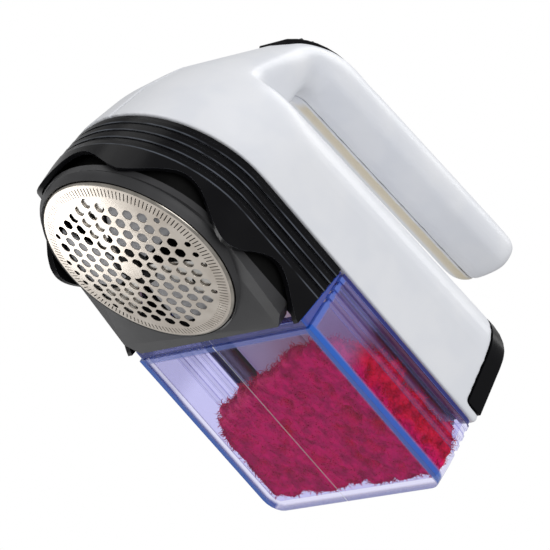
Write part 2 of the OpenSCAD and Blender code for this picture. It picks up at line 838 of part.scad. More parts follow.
// wound core on the shaft, with three poles
module motor_core() {
    color("peru") translate([head_x, 0, 0]) difference() {
        union() {
            translate([0, 0, motor_z + 2]) cylinder(r = 4, h = motor_len - 4);
            for (t = [0, 120, 240]) rotate([0, 0, t + 30]) translate([0, -2, motor_z + 3.5])
                cube([motor_flat - 2.4, 4, motor_len - 7]);
        }
        translate([0, 0, motor_z]) cylinder(r = 1 + run_fit, h = motor_len);
    }
}
module motor_end_cap() {
    z0 = motor_z + motor_len + 0.1;
    color("ivory") translate([head_x, 0, 0]) difference() {
        union() {
            intersection() {
                translate([0, 0, z0]) cylinder(r = motor_r - 0.3, h = 2.4);
                translate([-motor_flat + 0.3, -20, z0]) cube([2 * motor_flat - 0.6, 40, 3]);
            }
            translate([0, 0, z0]) cylinder(r = 3.4, h = 3.6);
            for (s = [-1, 1]) translate([-0.3, s * 7 - 1.5, z0]) cube([0.6, 3, 6]);
        }
        translate([0, 0, z0 - 1]) cylinder(r = 1 + run_fit, h = 3.6);
    }
}
module motor_bracket() {
    z0 = motor_z - 1.9;
    color("dimgray") translate([head_x, 0, 0]) difference() {
        union() {
            translate([0, 0, z0]) cylinder(r = 14, h = 1.6);
            for (t = [45, 135, 225, 315]) rotate([0, 0, t]) translate([8, -2.8, z0])
                cube([11.6, 5.6, 1.6]);
            // two ears that grip the can
            for (s = [-1, 1]) translate([-4, s * (motor_r + 1.3) - 1, z0]) cube([8, 2, 12]);
        }
        translate([0, 0, z0 - 1]) cylinder(r = 3 + fit, h = 4);
        for (t = [45, 135, 225, 315]) rotate([0, 0, t]) translate([17, 0, z0 - 1])
            cylinder(r = 1.3, h = 4);
    }
}
module bracket_screws() {
    z0 = motor_z - 0.3;
    color("silver") for (t = [45, 135, 225, 315])
        translate([head_x + 17 * cos(t), 17 * sin(t), 0]) difference() {
            union() {
                translate([0, 0, z0 + 0.05]) cylinder(r = 2.3, h = 1.3);
                translate([0, 0, z0 - 4.5]) cylinder(r = 1, h = 5);
            }
            translate([-3, -0.3, z0 + 0.8]) cube([6, 0.6, 1]);
        }
}

// ---------- cells ----------
module cell(y) {
    color("darkorange") translate([cell_rear, y, cell_z]) rotate([0, 90, 0]) {
        cylinder(r = cell_r, h = cell_len - 1.6);
        cylinder(r = 3.2, h = cell_len);
    }
}
module battery_cell_left() { cell(cell_y); }
module battery_cell_right() { mirror([1, 0, 0]) translate([-cell_rear - cell_front, 0, 0])
    cell(-cell_y); }

module battery_tray() {
    w = 2 * cell_y + cell_d - 6;
    color("dimgray") difference() {
        translate([cell_rear + 3, -w / 2, tray_z])
            cube([cell_len - 3 + 3.4, w, 9]);
        // cradles for the two cells
        for (s = [-1, 1]) translate([cell_rear - 1, s * cell_y, cell_z]) rotate([0, 90, 0])
            cylinder(r = cell_r + 0.25, h = cell_len + 1.6);
        // slots for the contact plates, and clearance for the box rails
        for (s = [-1, 1]) translate([cell_front + 0.7, s * cell_y - 5.4, tray_z + 2])
            cube([1.2, 10.8, 12]);
        for (s = [-1, 1]) translate([cell_rear, s * rail_y - 3, tray_z - 1])
            cube([cell_len + 10, 6, 3.4]);
        // thumb window
        translate([cell_rear + 16, -5, tray_z - 1]) cube([16, 10, 12]);
    }
}
module contact_plate() {
    color("silver") {
        for (s = [-1, 1]) translate([cell_front + 0.9, s * cell_y - 5, tray_z + 2.3])
            cube([0.5, 10, 16]);
        // dimple that meets the cell, solder tag on top
        for (s = [-1, 1]) {
            translate([cell_front + 0.25, s * cell_y, cell_z]) rotate([0, 90, 0])
                cylinder(r = 2.4, h = 0.9);
            translate([cell_front + 0.9, s * cell_y - 1.5, tray_z + 18]) cube([0.5, 3, 4]);
        }
    }
}
module contact_springs() {
    x0 = cap_rear + wall + fit + tan(cap_lean) * (cell_z + 6 - floor_z) + 0.1;
    x1 = cell_rear - 0.25;
    color("silver") {
        translate([x0, -cell_y - 6, cell_z - 6]) cube([0.4, 2 * cell_y + 12, 12]);
        for (s = [-1, 1]) for (k = [0 : 4])
            translate([x0 + 0.6 + (x1 - x0 - 1) * k / 4, s * cell_y, cell_z]) rotate([0, 90, 0])
                rotate_extrude($fn = 48) translate([6 - 0.7 * k, 0]) circle(r = 0.35, $fn = 16);
        for (s = [-1, 1]) translate([x0 + 0.2, s * cell_y - 0.3, cell_z + 2.8])
            cube([x1 - x0 - 0.6, 0.6, 3.4]);
    }
}

// ---------- lint box ----------
box_side = [[box_rear, box_z], [box_front, box_z], [box_front, box_top],
            [box_rear + 3.2, box_top]];
module box_solid(i) {
    p = [[box_rear, -half_w], [box_front + 1, -half_w], [box_front + 1, half_w], [box_rear, half_w]];
    intersection() {
        side_plate(outline(box_side, [0, 0, 0, 0], i), -half_w, half_w);
        translate([0, 0, box_z - 1]) linear_extrude(box_h + 2)
            polygon(outline(p, [5, 0, 0, 5], i, 5));
    }
}
module lint_box() {
    color("lightsteelblue") {
        difference() {
            box_solid(0);
            // inside, open at the top and at the front
            intersection() {
                union() {
                    box_solid(box_wall);
                    translate([0, 0, box_wall + 1]) box_solid(box_wall);
                    translate([box_wall + 2, 0, 0]) box_solid(box_wall);
                }
                translate([box_rear, -half_w + box_wall, box_z + box_wall])
                    cube([box_len + 10, body_w - 2 * box_wall, box_h + 9]);
            }
            // grooves that leave the ribs
            for (k = [0 : rib_count - 1])
                translate([0, 0, rib_z + (k + 0.5) * rib_pitch])
                    difference() {
                        translate([box_rear - 5, -half_w - 1, 0])
                            cube([box_len + 10, body_w + 2, rib_pitch / 2]);
                        translate([0, 0, -rib_z]) intersection() {
                            box_solid(rib_depth);
                            translate([box_rear, -half_w, rib_z])
                                cube([box_len + 10, body_w, 2 * rib_pitch]);
                        }
                    }
        }
        // rails that slide in the body floor
        rails(0);
        for (s = [-1, 1])
            translate([box_rear + 6, s > 0 ? rail_y - 0.7 : -half_w + box_wall - eps, box_top - 1.4])
                cube([box_len - 8, half_w - box_wall - rail_y + 0.7 + eps, 1.4]);
    }
}
module lint_box_frame() {
    x1 = box_front + 2.9;
    color("slateblue") difference() {
        side_plate([[box_front + 0.1, box_z + 0.5], [x1, box_z + 0.5],
                    [x1 - 2.3, box_top - 0.3], [box_front + 0.1, box_top - 0.3]],
                   -half_w + 0.8, half_w - 0.8);
        translate([box_front - 5, -half_w + 4.2, box_z + 3.2])
            cube([20, body_w - 8.4, box_h - 6.2]);
    }
}
module lint_fluff() {
    p = [[-57.5, -25], [-38, -24], [-24, -18], [-16, -5], [-11.5, 9], [-8.5, 24],
         [-12, 31.6], [-57.5, 31.6]];
    q = [for (v = p) [box_rear + (v.x + 63) * box_len / 60, v.y * half_w / 34]];
    color("crimson") {
        translate([0, 0, box_z + box_wall + fit]) linear_extrude(9)
            polygon(outline(q, [7, 4, 6, 5, 4, 4, 4, 7], 0, 4));
        translate([0, 0, box_z + box_wall + fit + 8.9]) linear_extrude(4)
            polygon(outline(q, [7, 4, 6, 5, 4, 4, 4, 7], 2.5, 4));
        translate([0, 0, box_z + box_wall + fit + 12.8]) linear_extrude(2.4)
            polygon(outline(q, [7, 4, 6, 5, 4, 4, 4, 7], 6.5, 4));
    }
}

// ---------- switch ----------
// piece of a ring round the bend: radii r0 to r1, angles a0 to a1 from the switch, y0 to y1
module bend_band(r0, r1, a0, a1, y0, y1) {
    n = 12;
    translate([bend_o.x, 0, bend_o.y]) side_plate(concat(
        [for (i = [0 : n]) let (t = switch_tilt + a0 + (a1 - a0) * i / n) r0 * [sin(t), cos(t)]],
        [for (i = [n : -1 : 0]) let (t = switch_tilt + a0 + (a1 - a0) * i / n) r1 * [sin(t), cos(t)]]),
        y0, y1);
}
module switch_bezel() {
    a = bend_deg(slide_half + fit);
    color("black") difference() {
        bezel_solid(0);
        // pocket and slot for the slider
        bend_band(bend_r - 0.6, bend_r + 4, -a, slide_a + a,
                  -slide_w / 2 - fit, slide_w / 2 + fit);
        bend_band(bend_r - 8, bend_r + 4, -bend_deg(2.6), slide_a + bend_deg(2.6), -1.9, 1.9);
    }
}
module switch_slider() {
    a = bend_deg(slide_half);
    color("black") {
        bend_band(bend_r - 0.6 + fit, bend_r + 0.6, -a, a, -slide_w / 2, slide_w / 2);
        // grip ridges
        for (k = [0 : ridge_count - 1]) translate([bend_o.x, 0, bend_o.y])
            rotate([0, switch_tilt + bend_deg(ridge_pitch * (k - (ridge_count - 1) / 2)), 0])
                translate([0, -slide_w / 2 + 0.4, bend_r + 0.5]) rotate([-90, 0, 0])
                    cylinder(r = 0.8, h = slide_w - 0.8, $fn = 32);
        // neck down to the switch
        bend_band(bend_r - 6, bend_r, -bend_deg(1.6), bend_deg(1.6), -1.5, 1.5);
    }
}
module switch_body() {
    color("ivory") at_switch() difference() {
        translate([-6, -4, -10.6]) cube([14, 8, 6]);
        translate([-3.5, -1.9, -7.6]) cube([10, 3.8, 8]);
    }
}
module switch_terminals() {
    color("silver") at_switch() for (x = [-4, 1, 6])
        translate([x - 0.3, -1.5, -11.7]) cube([0.6, 3, 1]);
}

housing_left();
housing_right();
housing_screws();
battery_cap();
skirt_shell();
chamber();
head_plate();
foil();
foil_ring();
cutter_hub();
cutter_blades();
cutter_screw();
cutter_shaft();
cutter_spring();
bearing_bush();
drive_coupler();
motor_shaft();
motor_core();
motor_can();
motor_end_cap();
motor_bracket();
bracket_screws();
battery_tray();
battery_cell_left();
battery_cell_right();
contact_plate();
contact_springs();
lint_box();
lint_box_frame();
lint_fluff();
switch_bezel();
switch_slider();
switch_body();
switch_terminals();
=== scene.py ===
# %% [markdown]
# # A fabric shaver, dressed for its portrait
# A fabric shaver trims the bobbles off knitwear. This one is shaped like a small iron: a white
# shell with a handle, a black ribbed skirt round the nose, a round steel foil underneath, and a
# clear violet box behind the foil that catches the fluff. The solid parts come ready made from
# the model of the mechanism, in metres, each already in its place. What this lesson adds is
# what the eye notices: the finish of each plastic and metal, a finely pierced foil, the fluff
# itself, and the light.

import json
import math
import random

import bmesh
import bpy
import numpy as np
from mathutils import Matrix, Vector

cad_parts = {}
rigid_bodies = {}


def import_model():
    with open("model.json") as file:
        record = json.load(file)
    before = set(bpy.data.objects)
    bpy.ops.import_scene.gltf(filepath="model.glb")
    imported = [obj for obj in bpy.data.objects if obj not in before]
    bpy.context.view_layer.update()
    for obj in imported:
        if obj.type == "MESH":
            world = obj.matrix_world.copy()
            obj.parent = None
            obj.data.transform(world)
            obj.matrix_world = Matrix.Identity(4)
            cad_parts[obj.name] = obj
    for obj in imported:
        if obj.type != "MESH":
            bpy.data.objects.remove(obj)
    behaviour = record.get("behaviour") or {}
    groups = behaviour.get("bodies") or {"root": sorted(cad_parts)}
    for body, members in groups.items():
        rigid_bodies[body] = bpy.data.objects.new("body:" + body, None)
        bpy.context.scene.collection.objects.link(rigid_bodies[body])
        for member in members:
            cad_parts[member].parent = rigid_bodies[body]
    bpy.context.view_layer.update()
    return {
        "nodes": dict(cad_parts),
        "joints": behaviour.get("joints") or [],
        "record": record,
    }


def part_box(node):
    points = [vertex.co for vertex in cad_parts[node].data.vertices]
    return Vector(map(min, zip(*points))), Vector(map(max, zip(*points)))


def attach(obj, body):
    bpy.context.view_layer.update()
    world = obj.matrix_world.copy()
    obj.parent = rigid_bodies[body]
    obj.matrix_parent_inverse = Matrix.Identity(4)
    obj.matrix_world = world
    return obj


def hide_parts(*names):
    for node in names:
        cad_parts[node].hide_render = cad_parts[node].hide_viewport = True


for leftover in list(bpy.data.objects):
    bpy.data.objects.remove(leftover)
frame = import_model()
nodes = frame["nodes"]

# %% [markdown]
# ## Millimetres and landmarks
# Blender works in metres here, but a shaver is easier to think of in millimetres, so one small
# helper turns a point in millimetres into a vector. A few landmarks, such as the axis of the
# foil and the edges of the lint box, are read off the parts themselves, so everything that is
# made later stays in its place if a part changes its size. The bulge of the foil holds the body
# up from the floor, and the landmark called lift says by how much.

# %% Units and landmarks
MM = 0.001
BOX_FLOOR = 2.8
BOX_WALL = 20.5
FIRST_RIB = 8.2
RIBS = 4


def at(x, y, z):
    """A point given in millimetres."""
    return Vector((x * MM, y * MM, z * MM))


foil_low, foil_high = (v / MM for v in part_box("foil"))
box_low, box_high = (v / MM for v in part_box("lint_box"))
foil_x = (foil_low.x + foil_high.x) / 2
foil_radius = (foil_high.x - foil_low.x) / 2
lift = box_low.z - BOX_FLOOR
box_top = box_low.z + BOX_WALL
rib_start = box_low.z + FIRST_RIB
rib_pitch = (BOX_WALL - FIRST_RIB) / RIBS
print("foil axis at x", round(foil_x, 1), "radius", round(foil_radius, 2), "lift", round(lift, 2))
print("lint box x", round(box_low.x, 1), "to", round(box_high.x, 1))

# %% [markdown]
# ## Shader maths as plain arithmetic
# A material in Blender is a graph of nodes. Written node by node, a formula such as
# `0.3 + 0.1 * noise` takes four steps, so a small class wraps one output of a node and lets
# Python's own signs add the Math nodes.

# %% A value in a material
class Flow:
    """One output of a node; arithmetic on it adds Math nodes to the same material."""

    def __init__(self, finish, socket):
        self.finish = finish
        self.socket = socket

    def maths(self, operation, *values):
        settings = {"operation": operation}
        return self.finish.add("ShaderNodeMath", settings, dict(enumerate(values)))

    def __add__(self, other):
        return self.maths("ADD", self, other)

    def __radd__(self, other):
        return self.maths("ADD", other, self)

    def __sub__(self, other):
        return self.maths("SUBTRACT", self, other)

    def __rsub__(self, other):
        return self.maths("SUBTRACT", other, self)

    def __mul__(self, other):
        return self.maths("MULTIPLY", self, other)

    def __rmul__(self, other):
        return self.maths("MULTIPLY", other, self)

    def __truediv__(self, other):
        return self.maths("DIVIDE", self, other)

    def __pow__(self, other):
        return self.maths("POWER", self, other)

    def __abs__(self):
        return self.maths("ABSOLUTE", self)

    def fraction(self):
        """What is left of the value when its whole part is taken away."""
        return self.maths("FRACT", self)

    def most(self, other):
        """The larger of two values."""
        return self.maths("MAXIMUM", self, other)

    def ramp(self, start, end):
        """0 below start, 1 above end, and a smooth rise between them."""
        settings = {"interpolation_type": "SMOOTHSTEP"}
        values = {"Value": self, "From Min": start, "From Max": end}
        return self.finish.add("ShaderNodeMapRange", settings, values)

    def fade(self, start, end):
        """1 below start, 0 above end, and a smooth fall between them."""
        return 1 - self.ramp(start, end)


print("signs that add nodes: + - * / ** abs")

# %% [markdown]
# ## One way of adding a node
# A second class holds one material and has a single method that adds any node: its type, its
# settings first, then what goes into its sockets. The few nodes that every finish here needs,
# such as noise of a given size or a bump, get a short name each. The world round the shaver is
# a graph of nodes as well, so the same class will serve it later.

# %% A material and its nodes
class Finish:
    """A material, or the world, that is built up by adding nodes to it."""

    def __init__(self, owner, end="ShaderNodeOutputMaterial"):
        self.owner = owner
        self.owner.use_nodes = True
        self.tree = self.owner.node_tree
        self.tree.nodes.clear()
        self.end = self.tree.nodes.new(end)

    def add(self, kind, settings=None, values=None, out=0):
        """A node's type, its settings, the values or links of its sockets; gives one output."""
        node = self.tree.nodes.new(kind)
        for key, value in (settings or {}).items():
            setattr(node, key, value)
        for key, value in (values or {}).items():
            socket = node.inputs[key]
            if isinstance(value, Flow):
                self.tree.links.new(value.socket, socket)
            elif socket.type == "RGBA" and len(value) == 3:
                socket.default_value = (*value, 1.0)
            else:
                socket.default_value = value
        return Flow(self, node.outputs[out])

    def place(self):
        return self.add("ShaderNodeTexCoord", out="Object")

    def axis(self, letter):
        """The x, y or z of a point on the part, in millimetres."""
        return self.add("ShaderNodeSeparateXYZ", {}, {0: self.place()}, out=letter) / MM

    def axes(self):
        return self.axis("X"), self.axis("Y"), self.axis("Z")

    def grain(self, size, detail=3.0, roughness=0.55, stretch=(1, 1, 1)):
        """Noise whose blobs are about so many millimetres wide, between 0 and 1."""
        spread = self.add(
            "ShaderNodeVectorMath",
            {"operation": "MULTIPLY"},
            {0: self.place(), 1: [s / (size * MM) for s in stretch]},
        )
        values = {"Vector": spread, "Scale": 1.0, "Detail": detail, "Roughness": roughness}
        return self.add("ShaderNodeTexNoise", {}, values)

    def blend(self, amount, first, second):
        """A colour between two colours."""
        settings = {"data_type": "RGBA"}
        return self.add("ShaderNodeMix", settings, {0: amount, 6: first, 7: second}, out=2)

    def bump(self, height, distance, strength, below=None):
        """Small relief of so many millimetres, on top of another bump where there is one."""
        values = {"Height": height, "Distance": distance * MM, "Strength": strength}
        if below is not None:
            values["Normal"] = below
        return self.add("ShaderNodeBump", {}, values)

    def shader(self, **sockets):
        """The main shader; a socket's name is written with _ for each space."""
        values = {key.replace("_", " "): value for key, value in sockets.items()}
        return self.add("ShaderNodeBsdfPrincipled", {}, values)

    def mix(self, amount, first, second):
        """A surface between two surfaces."""
        return self.add("ShaderNodeMixShader", {}, {0: amount, 1: first, 2: second})

    def done(self, surface):
        self.tree.links.new(surface.socket, self.end.inputs["Surface"])
        return self.owner


def new_finish(name):
    return Finish(bpy.data.materials.new(name))


print("a tiny test:", (1 - new_finish("scratch").grain(1.0)).socket.node.operation)
bpy.data.materials.remove(bpy.data.materials["scratch"])

# %% [markdown]
# ## The camera first
# The camera looks up at the shaver from below its left side, through a long lens, so that
# parallel edges stay nearly parallel. Its place and its three axes are written out, because
# they are easier to check than angles: right and down are the directions of its own view.

# %% Camera
camera_data = bpy.data.cameras.new("portrait")
camera_data.lens = 319.1
camera_data.sensor_width = 36
camera_data.clip_start = 0.05
camera_data.clip_end = 20
camera = bpy.data.objects.new("portrait", camera_data)
bpy.context.scene.collection.objects.link(camera)
camera_place = at(519.4, 952.4, -665.5 + lift)
right = Vector((-0.5968, 0.6609, 0.4549)).normalized()
forward = Vector((-0.4061, -0.7378, 0.5392)).normalized()
down = forward.cross(right).normalized()
right = down.cross(forward).normalized()
turn = Matrix((right, -down, -forward)).transposed()
camera.matrix_world = Matrix.Translation(camera_place) @ turn.to_4x4()
bpy.context.scene.camera = camera
print("camera axes are at right angles:", abs(right.dot(down)) < 1e-6)

# %% [markdown]
# ## White plastic
# The shell is moulded in a cool white plastic with a satin polish. Real moulded plastic is
# never quite even: its colour drifts a little over the part, its gloss is broken by a fine
# texture, and the surface has slow ripples from the mould. Layers of noise give those things,
# each at its own size, and each far too faint to see alone. A recipe may also be given painted
# light, which is a mask and a colour: here it is a warm beige shade painted on the underside of
# the grip, where the body below shades it and warm light is reflected into it.

# %% Finish: white shell
# the warm beige of the shade painted under the grip
GRIP_SHADE_BEIGE = (0.74, 0.66, 0.5)
GRIP_UNDERSIDE = 75.0
GRIP_FRONT = 14.0
GRIP_SLOPE = 0.056


def moulded(
    name, colour, second, rough, ripple=0.02, fine=0.15, shine=0.5, painted_light=None, painted_colour=GRIP_SHADE_BEIGE
):
    """Plastic with a drift in its colour, a fine texture in its gloss, slow ripples, and painted
    light where a mask is given.
    """
    made = new_finish(name)
    drift = made.grain(14, detail=2)
    texture = made.grain(fine, detail=2)
    wear = made.grain(2.5, detail=4)
    tint = made.blend(drift.ramp(0.35, 0.65), colour, second)
    # painted light: a colour laid over the plastic where the mask says, for shade or highlight
    if painted_light:
        tint = made.blend(painted_light(made), tint, painted_colour)
    gloss = rough + (wear - 0.5) * (0.25 * rough) + (texture - 0.5) * (0.15 * rough)
    waves = made.bump(made.grain(6, detail=1), ripple, 0.35)
    normal = made.bump(texture, fine * 0.02, 0.35, below=waves)
    surface = made.shader(
        Base_Color=tint, Roughness=gloss, IOR=1.46, Specular_IOR_Level=shine, Normal=normal
    )
    return made.done(surface)


def painted_grip_shade(made):
    """1 on the right half of the grip's underside, where a warm beige shade is painted on the
    plastic.
    """
    x, y, z = made.axes()
    above = z - (lift + GRIP_UNDERSIDE) - (GRIP_FRONT - x) * GRIP_SLOPE
    underside = above.fade(0.8, 3.2) * above.ramp(-10.0, -6.0)
    return underside * y.fade(-1.2, -0.2) * y.ramp(-13.0, -9.0) * x.fade(13.0, 17.0)


# the white shell, with painted warm shade on the right half of the grip's underside
white = moulded("satin_white", (0.77, 0.79, 0.84), (0.81, 0.825, 0.865), 0.34, painted_light=painted_grip_shade)
print("finish:", white.name)

# %% [markdown]
# ## Black and grey plastics
# The skirt, the rear cap and the switch are black and glossy, so their ridges catch thin bright
# lines; along the skirt's ribs such lines are also painted, as a painted highlight. The plate round
# the foil is a satin charcoal grey. The parts inside share a duller black. The same recipe serves
# them all, with another colour and another polish. Two of the finishes are only for rounded
# edges: their paler colour is a painted highlight, and stands also for the wear of handling.

# %% Finishes: black and grey
JET = (0.004, 0.004, 0.005), (0.006, 0.006, 0.007)


def rib_glint(made):
    """1 along the lower edge of each rib of the skirt, where a highlight is painted, broken up by
    noise.
    """
    height = made.axis("Z") - rib_start
    line = abs((height / rib_pitch).fraction() - 0.08).fade(0.03, 0.1)
    glint_breakup = made.grain(11, detail=2).ramp(0.3, 0.62)
    return line * (height.ramp(-0.2, 0.0) * glint_breakup)


black = moulded("black_gloss", *JET, 0.23, shine=0.09)
# the skirt's black, with a painted highlight line along the lower edge of each rib
ribbed_black_painted_glints = moulded(
    "black_ribbed", *JET, 0.23, shine=0.09, painted_light=rib_glint, painted_colour=(0.085, 0.095, 0.115)
)
black_inner = moulded(
    "black_inner", (0.004, 0.004, 0.004), (0.006, 0.006, 0.006), 0.55, shine=0.1
)
# paler colour for rounded black edges: a painted highlight, and handling wear
black_sheen_and_wear_edge = moulded(
    "black_edge_sheen_and_wear", (0.07, 0.076, 0.09), (0.2, 0.215, 0.25), 0.24, shine=0.4
)
charcoal = moulded(
    "charcoal_satin", (0.042, 0.042, 0.044), (0.052, 0.052, 0.055), 0.42, ripple=0.01, shine=0.25
)
# paler colour for rounded charcoal edges: a painted highlight, and handling wear
charcoal_sheen_and_wear_edge = moulded(
    "charcoal_edge_sheen_and_wear", (0.06, 0.06, 0.064), (0.11, 0.11, 0.115), 0.34, shine=0.4
)
pale_grey = moulded("pale_grey", (0.5, 0.505, 0.53), (0.58, 0.585, 0.61), 0.45)
ivory = moulded("ivory_plastic", (0.62, 0.58, 0.47), (0.68, 0.64, 0.53), 0.4)
print("finishes:", black.name, charcoal.name, ivory.name)

# %% [markdown]
# ## Metals
# The foil is a warm, pale steel sheet, spun bright and slightly brushed. Brushing is noise that
# is stretched along the strokes, and on a spun disc the strokes run in circles, so the noise is
# laid out by distance from the foil's axis. Shafts, screws and springs use straight strokes.

# %% Finishes: metals
STROKES_PER_MM = 9.0


def metal(name, colour, second, rough, size=0.5, stretch=(1, 1, 6)):
    """Metal with faint brush strokes in its gloss and its colour."""
    made = new_finish(name)
    strokes = made.grain(size, detail=4, stretch=stretch)
    stain = made.grain(4, detail=3)
    tint = made.blend(stain.ramp(0.35, 0.7), colour, second)
    gloss = rough + (strokes - 0.5) * (0.5 * rough)
    relief = made.bump(strokes, 0.004, 0.3)
    return made.done(made.shader(Base_Color=tint, Metallic=1.0, Roughness=gloss, Normal=relief))


def spun_steel(name, colour, second, rough):
    """Steel sheet brushed in circles round the axis of the foil."""
    made = new_finish(name)
    x = made.axis("X") - foil_x
    y = made.axis("Y")
    distance = (x * x + y * y) ** 0.5
    rings = {0: distance * STROKES_PER_MM, 1: made.axis("Z") * 2.0, 2: 0.0}
    spread = made.add("ShaderNodeCombineXYZ", {}, rings)
    strokes = made.add("ShaderNodeTexNoise", {}, {"Vector": spread, "Scale": 1.0, "Detail": 4.0})
    stain = made.grain(7, detail=3)
    tint = made.blend(stain.ramp(0.3, 0.7), colour, second)
    gloss = rough + (strokes - 0.5) * 0.16 + (stain - 0.5) * 0.1
    relief = made.bump(strokes, 0.006, 0.3)
    return made.done(made.shader(Base_Color=tint, Metallic=1.0, Roughness=gloss, Normal=relief))


foil_steel = spun_steel("spun_steel", (0.74, 0.68, 0.61), (0.6, 0.54, 0.475), 0.33)
# darker colour: painted shade on the rolled rim; the lower roughness is the rim's own polish
rim_steel_painted_dark = metal("rolled_rim_painted_shade", (0.42, 0.39, 0.35), (0.3, 0.28, 0.25), 0.2, size=1.0)
steel = metal("plain_steel", (0.62, 0.61, 0.6), (0.54, 0.53, 0.52), 0.3)
blade_steel = metal(
    "ground_steel", (0.66, 0.65, 0.63), (0.55, 0.54, 0.52), 0.34, stretch=(6, 1, 1)
)
bronze = metal("bush_bronze", (0.55, 0.36, 0.17), (0.47, 0.29, 0.13), 0.36)
copper = metal(
    "wound_copper", (0.72, 0.34, 0.19), (0.6, 0.26, 0.14), 0.35, size=0.3, stretch=(1, 1, 12)
)
print("metals:", foil_steel.name, steel.name, blade_steel.name, bronze.name, copper.name)

# %% [markdown]
# ## Clear violet plastic
# The lint box is moulded in clear plastic with a violet-blue tint. Light that enters a clear
# wall runs along inside it and comes out at the edges, which is why the rims and ribs of such
# a box look deep blue while its faces look almost clear. Here a see-through shader and a blue
# plastic one are mixed by position: hardly any blue on the faces, and a painted glow of that
# piped light close to the rims and in the grooves. The front of the walls, where no fluff lies
# behind them, gets a faint painted haze of scattered light. One thin pale line runs along the
# floor where the mould parted. A mirror layer is then mixed in by the Fresnel rule, so that the
# box shines where it is seen at a slant, and only on the sides that face outwards.

# %% Helper: where light is painted on the box
MOULD_LINE_Y = 4.0
SCATTER_LENGTH = 20.0


def glow_zones(made):
    """Masks by place on the box: painted glow at the rims, top rim, mould line, and painted light
    in the walls and grooves.
    """
    x, y, z = made.axes()
    from_side = (box_high.y - box_low.y) / 2 - abs(y)
    from_floor = z - box_low.z
    low_rim = from_floor.fade(1.3, 2.5) * from_side.fade(1.3, 2.5)
    top_rim = (box_top - z).fade(1.5, 1.9) * from_side.fade(0.7, 1.6)
    back_rim = (x - box_low.x).fade(0.6, 2.2) * from_floor.fade(1.5, 2.6)
    front_rim = (box_high.x - x).fade(1.2, 2.0)
    # deep: where the painted blue glow of piped light is strongest, at the rims
    deep = low_rim.most(top_rim).most(back_rim * 0.5).most(front_rim * 0.7)
    mould_line = abs(y + MOULD_LINE_Y).fade(0.1, 0.24) * from_floor.fade(0.3, 0.6)
    groove = from_side.ramp(0.15, 0.5) * from_side.fade(0.8, 1.4) * (1 - low_rim)
    # painted haze of light scattered in the front of the walls, where no fluff lies behind them
    painted_scatter = (x - (box_high.x - SCATTER_LENGTH)).ramp(0.0, 8.0) * from_side.fade(0.8, 1.4)
    return deep, top_rim, mould_line, painted_scatter * 0.28 + groove * 0.12


print("the walls of the box end at z", round(box_top, 1))

# %% Finish: clear violet
def clear_plastic(name, clear, face, low, high, reach=1.0, least=0.003):
    """Clear tinted plastic with a painted blue glow of piped light that deepens towards the rims of
    the lint box.
    """
    made = new_finish(name)
    deep, top_rim, mould_line, piped_and_scattered_glow = glow_zones(made)
    smear = made.grain(5, detail=4)
    dust = made.grain(0.35, detail=3)
    ripple = made.bump(made.grain(6, detail=1), 0.04, 0.3)
    normal = made.bump(dust, 0.004, 0.25, below=ripple)
    tint = made.blend(deep, face, made.blend(top_rim, low, high))
    tint = made.blend(mould_line, tint, (0.9, 0.9, 1.0))
    body = made.shader(Base_Color=tint, Roughness=0.16 + smear * 0.1, IOR=1.45, Normal=normal)
    through = made.add("ShaderNodeBsdfTransparent", {}, {"Color": clear})
    amount = least + smear.ramp(0.3, 0.8) * 0.008 + piped_and_scattered_glow
    amount = amount + deep * (0.93 * reach) + mould_line * 0.45
    plastic = made.mix(amount, through, body)
    facing = 1 - made.add("ShaderNodeNewGeometry", out="Backfacing")
    mirror = made.add("ShaderNodeFresnel", {}, {"IOR": 1.22, "Normal": normal}) * facing
    shine = made.shader(
        Base_Color=(1.0, 1.0, 1.0), Metallic=1.0, Roughness=0.05 + dust * 0.04, Normal=normal
    )
    return made.done(made.mix(mirror, plastic, shine))


violet = clear_plastic(
    "violet_plastic",
    clear=(0.87, 0.865, 0.975),
    face=(0.3, 0.3, 0.7),
    low=(0.012, 0.115, 0.55),
    high=(0.014, 0.018, 0.19),
)
violet_frame = clear_plastic(
    "violet_frame",
    clear=(0.74, 0.74, 0.96),
    face=(0.16, 0.17, 0.5),
    low=(0.04, 0.07, 0.36),
    high=(0.02, 0.02, 0.2),
    reach=0.8,
)
# for the rounded edges of the box: a strong painted glow of light piped out at the edges
violet_edge = clear_plastic(
    "violet_edge",
    clear=(0.7, 0.7, 0.96),
    face=(0.1, 0.11, 0.42),
    low=(0.02, 0.09, 0.5),
    high=(0.02, 0.018, 0.2),
    reach=0.6,
    least=0.34,
)
print("finishes:", violet.name, violet_frame.name, violet_edge.name)

# %% [markdown]
# ## Fluff, and the sleeve of a cell
# The fluff is shredded wool. Seen close up, it is thousands of short fibres in a deep crimson
# that turns to a redder, brighter tone higher up the heap and to a paler one at its front edge.
# The wool glows a very little of its own, which stands for the light that creeps through loose
# fibres. The cells wear a printed sleeve, which stays plain here.

# %% Finishes: fluff and cell sleeve
SHADED_RED, LIT_RED = (0.5, 0.004, 0.02), (0.98, 0.015, 0.035)
HEAP_REACH = 40.0
HEAP_SLANT = -0.42


